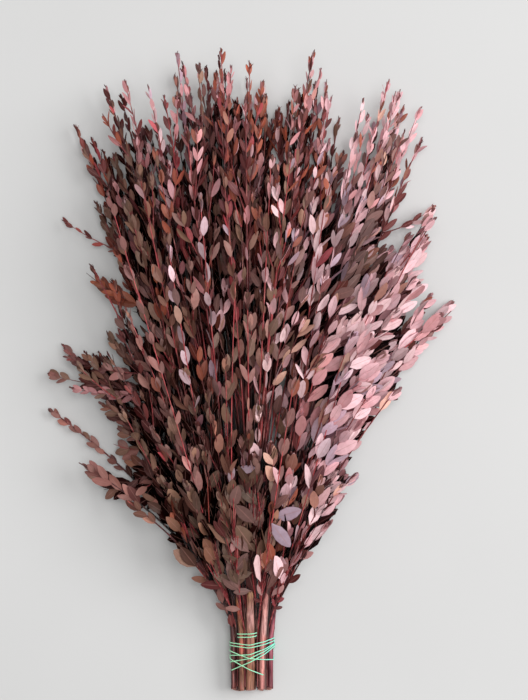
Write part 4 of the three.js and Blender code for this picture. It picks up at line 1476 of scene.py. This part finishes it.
def string_path(stems, places, radius):
    """The middle line of a string wound tightly round some stems, each turn over those before it."""
    fine = 12
    first, last = places[0][0] * fine, places[-1][0] * fine
    facing = 2 * math.pi * (np.arange(first, last + 1) / fine + 0.5) / STRING_STEPS
    toward = np.column_stack([np.cos(facing), 0 * facing, np.sin(facing)])

    def middle_line(heights):
        path = []
        for y, direction in zip(heights, toward):
            level = max(y, min(y + 5, LIFTED_Y))
            middles = [base_point(stem, level) for stem in stems]
            reaches = [middle @ direction + stem.radius for middle, stem in zip(middles, stems)]
            best = int(np.argmax(reaches))
            point = middles[best] + (stems[best].radius + radius) * direction
            path.append((point[0], y, point[2]))
        return np.array(path)

    flat = middle_line(np.full(len(facing), STRING_LEVEL))
    way = np.concatenate([[0], np.cumsum(np.linalg.norm(np.diff(flat, axis=0), axis=1))])
    corners = [way[step * fine - first] for step, _ in places]
    path = resample(middle_line(np.interp(way, corners, [y for _, y in places])), STRING_PITCH)
    path = np.column_stack([smooth_out(path[:, k], 9) for k in range(3)])
    return lay_over(path, radius)


def lay_over(path, radius):
    """Lifts a string where it crosses its own earlier turns."""
    out = unit(np.cross((0, 1, 0), unit(np.gradient(path, axis=0))))
    lifts = np.zeros(len(path))
    beside = 24  # so many points before any point aren't an earlier turn
    for here in range(beside + 6, len(path)):
        earlier = slice(here - beside)
        placed = path[earlier] + lifts[earlier, None] * out[earlier]
        offset = path[here] - placed
        outward = offset @ out[here]
        aside = (offset * offset).sum(1) - outward**2
        near = (aside < 4 * radius * radius) & (np.abs(outward) < 6)
        if near.any():
            lifts[here] = max(0, (np.sqrt(4 * radius * radius - aside[near]) - outward[near]).max())
    return path + smooth_out(lifts, 7)[:, None] * out


def smooth_out(values, width):
    """Values along a line, each as the mean of its neighbours."""
    weights = np.hanning(width + 2)[1:-1]
    return np.convolve(np.pad(values, width // 2, mode="edge"), weights / weights.sum(), "valid")


def resample(points, pitch):
    """A line with its points at an even pitch."""
    along = np.concatenate([[0], np.cumsum(np.linalg.norm(np.diff(points, axis=0), axis=1))])
    even = np.linspace(0, along[-1], int(along[-1] / pitch))
    return np.column_stack([np.interp(even, along, points[:, k]) for k in range(3)])


def build_string(name, node, stems, places):
    """A two-ply string along its path."""
    build = Build()
    path = string_path(stems, places, LAID_RADIUS)
    tangent = unit(np.gradient(path, axis=0))
    out = unit(np.cross((0, 1, 0), tangent))
    flat = np.cross(tangent, out)
    # The string's tone changes from left to right as painted light
    right = smoothstep(path[:, 0], -12, 24)[:, None]
    tint = linear(STRING_TONES[0]) * (1 - right) + linear(STRING_TONES[1]) * right
    for ply in (0, math.pi):
        turn = 2 * math.pi * (np.arange(len(path)) * STRING_PITCH) / LAY_LENGTH + ply
        offset = turned(out, flat, turn[:, None])[0]
        tube(build, path + PLY_OFFSET * offset, np.full(len(path), PLY_RADIUS), 6, tint, 0)
    piece = build.piece(name, [string_material()])
    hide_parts(node)
    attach(piece, "root")


stems = pack_stems()
main = list(main_leaders(stems))
wood = Wood(main)
shoots = list(main_twigs(main, wood))
added = [*fine_leaders(main), *short_leaders(main), *edge_leaders(main)]
added += [*filler_stems(stems), *over_stems(stems), *long_stems(main)]
wood.add_leaders(added)
leaders = main + added
shoots += [*end_sprays(leaders), *fine_twigs(leaders, wood), *foot_shoots(leaders), *side_sprays(leaders)]

single, stalks = foot_leaves(stems, leaders)
owners = np.array([number for number, *_ in stalks])
leaves = []
for stem in stems:
    grown = joined([grow_leaves(shoot) for shoot in shoots if shoot.leader.stem is stem])
    seen = ~hiding(grown, single)
    leaves.append(joined([picked(grown, seen), picked(single, owners == stem.number)]))
cover = Cover(leaves)

materials = [bark_material(), leaf_material(), cut_material()]
for stem, own_leaves in zip(stems, leaves):
    build = build_stem(stem, leaders, shoots, own_leaves, stalks, cover)
    piece = build.piece(f"eucalyptus_stem_{stem.number:02d}", materials)
    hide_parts(f"leafy_stem_{stem.number:02d}")
    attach(piece, "root")

build_string("green_tie", "tie_string", stems, TIE_PATH)
build_string("green_ring", "ring_string", [stem for stem in stems if stem.ringed], RING_PATH)

# The pale surface, in metres
FLOOR_REACH = 6
floor_mesh = bpy.data.meshes.new("surface")
corners = [(x * FLOOR_REACH, y * FLOOR_REACH, 0) for x, y in ((-1, -1), (1, -1), (1, 1), (-1, 1))]
floor_mesh.from_pydata(corners, [], [(0, 1, 2, 3)])
floor = bpy.data.objects.new("surface", floor_mesh)
floor.location.z = -0.0001  # just under the bunch
bpy.context.collection.objects.link(floor)
surface = Nodes("pale_surface")
uneven = surface.ramp(surface.noise(3), 0.3, 0.7)
pale = surface.mix(uneven, linear((207, 207, 207)), linear((210, 210, 210)))
surface.link(pale, surface.shader.inputs["Base Color"])
input_of(surface.shader, Roughness=0.7)
floor_mesh.materials.append(surface.material)
floor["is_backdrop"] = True

# Light: a broad window to the right, a lamp above, and the pale room
scene = bpy.context.scene
scene.view_settings.view_transform = "Standard"
world = bpy.data.worlds.new("room")
scene.world = world
world.use_nodes = True
input_of(world.node_tree.nodes["Background"], Color=(1, 0.99, 0.97, 1), Strength=0.34)


def area_light(name, place, aim, size, power):
    """A square light that shines towards a place. Places and its size are in metres."""
    data = bpy.data.lights.new(name, "AREA")
    data.shape = "SQUARE"
    data.size = size
    data.energy = power
    light = bpy.data.objects.new(name, data)
    light.location = place
    light.rotation_mode = "QUATERNION"
    light.rotation_quaternion = Vector(np.subtract(aim, place)).to_track_quat("-Z", "Y")
    bpy.context.collection.objects.link(light)


area_light("window", (4.1, 1.4, 3.45), (0, 0.3, 0.03), 3.5, 206)
area_light("ceiling", (0.3, 0.5, 3.1), (0, 0.3, 0.03), 1.6, 45)

camera_data = bpy.data.cameras.new("camera")
camera_data.sensor_width = 36
camera_data.lens = camera_data.sensor_width * (EYE[2] - OUTLINE_LEVEL) / (PICTURE_HEIGHT * MM_PER_PIXEL)
camera = bpy.data.objects.new("camera", camera_data)
camera.location = EYE * MM
bpy.context.collection.objects.link(camera)
scene.camera = camera

[[list(corner) for corner in box] for box in (cad_box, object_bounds())]
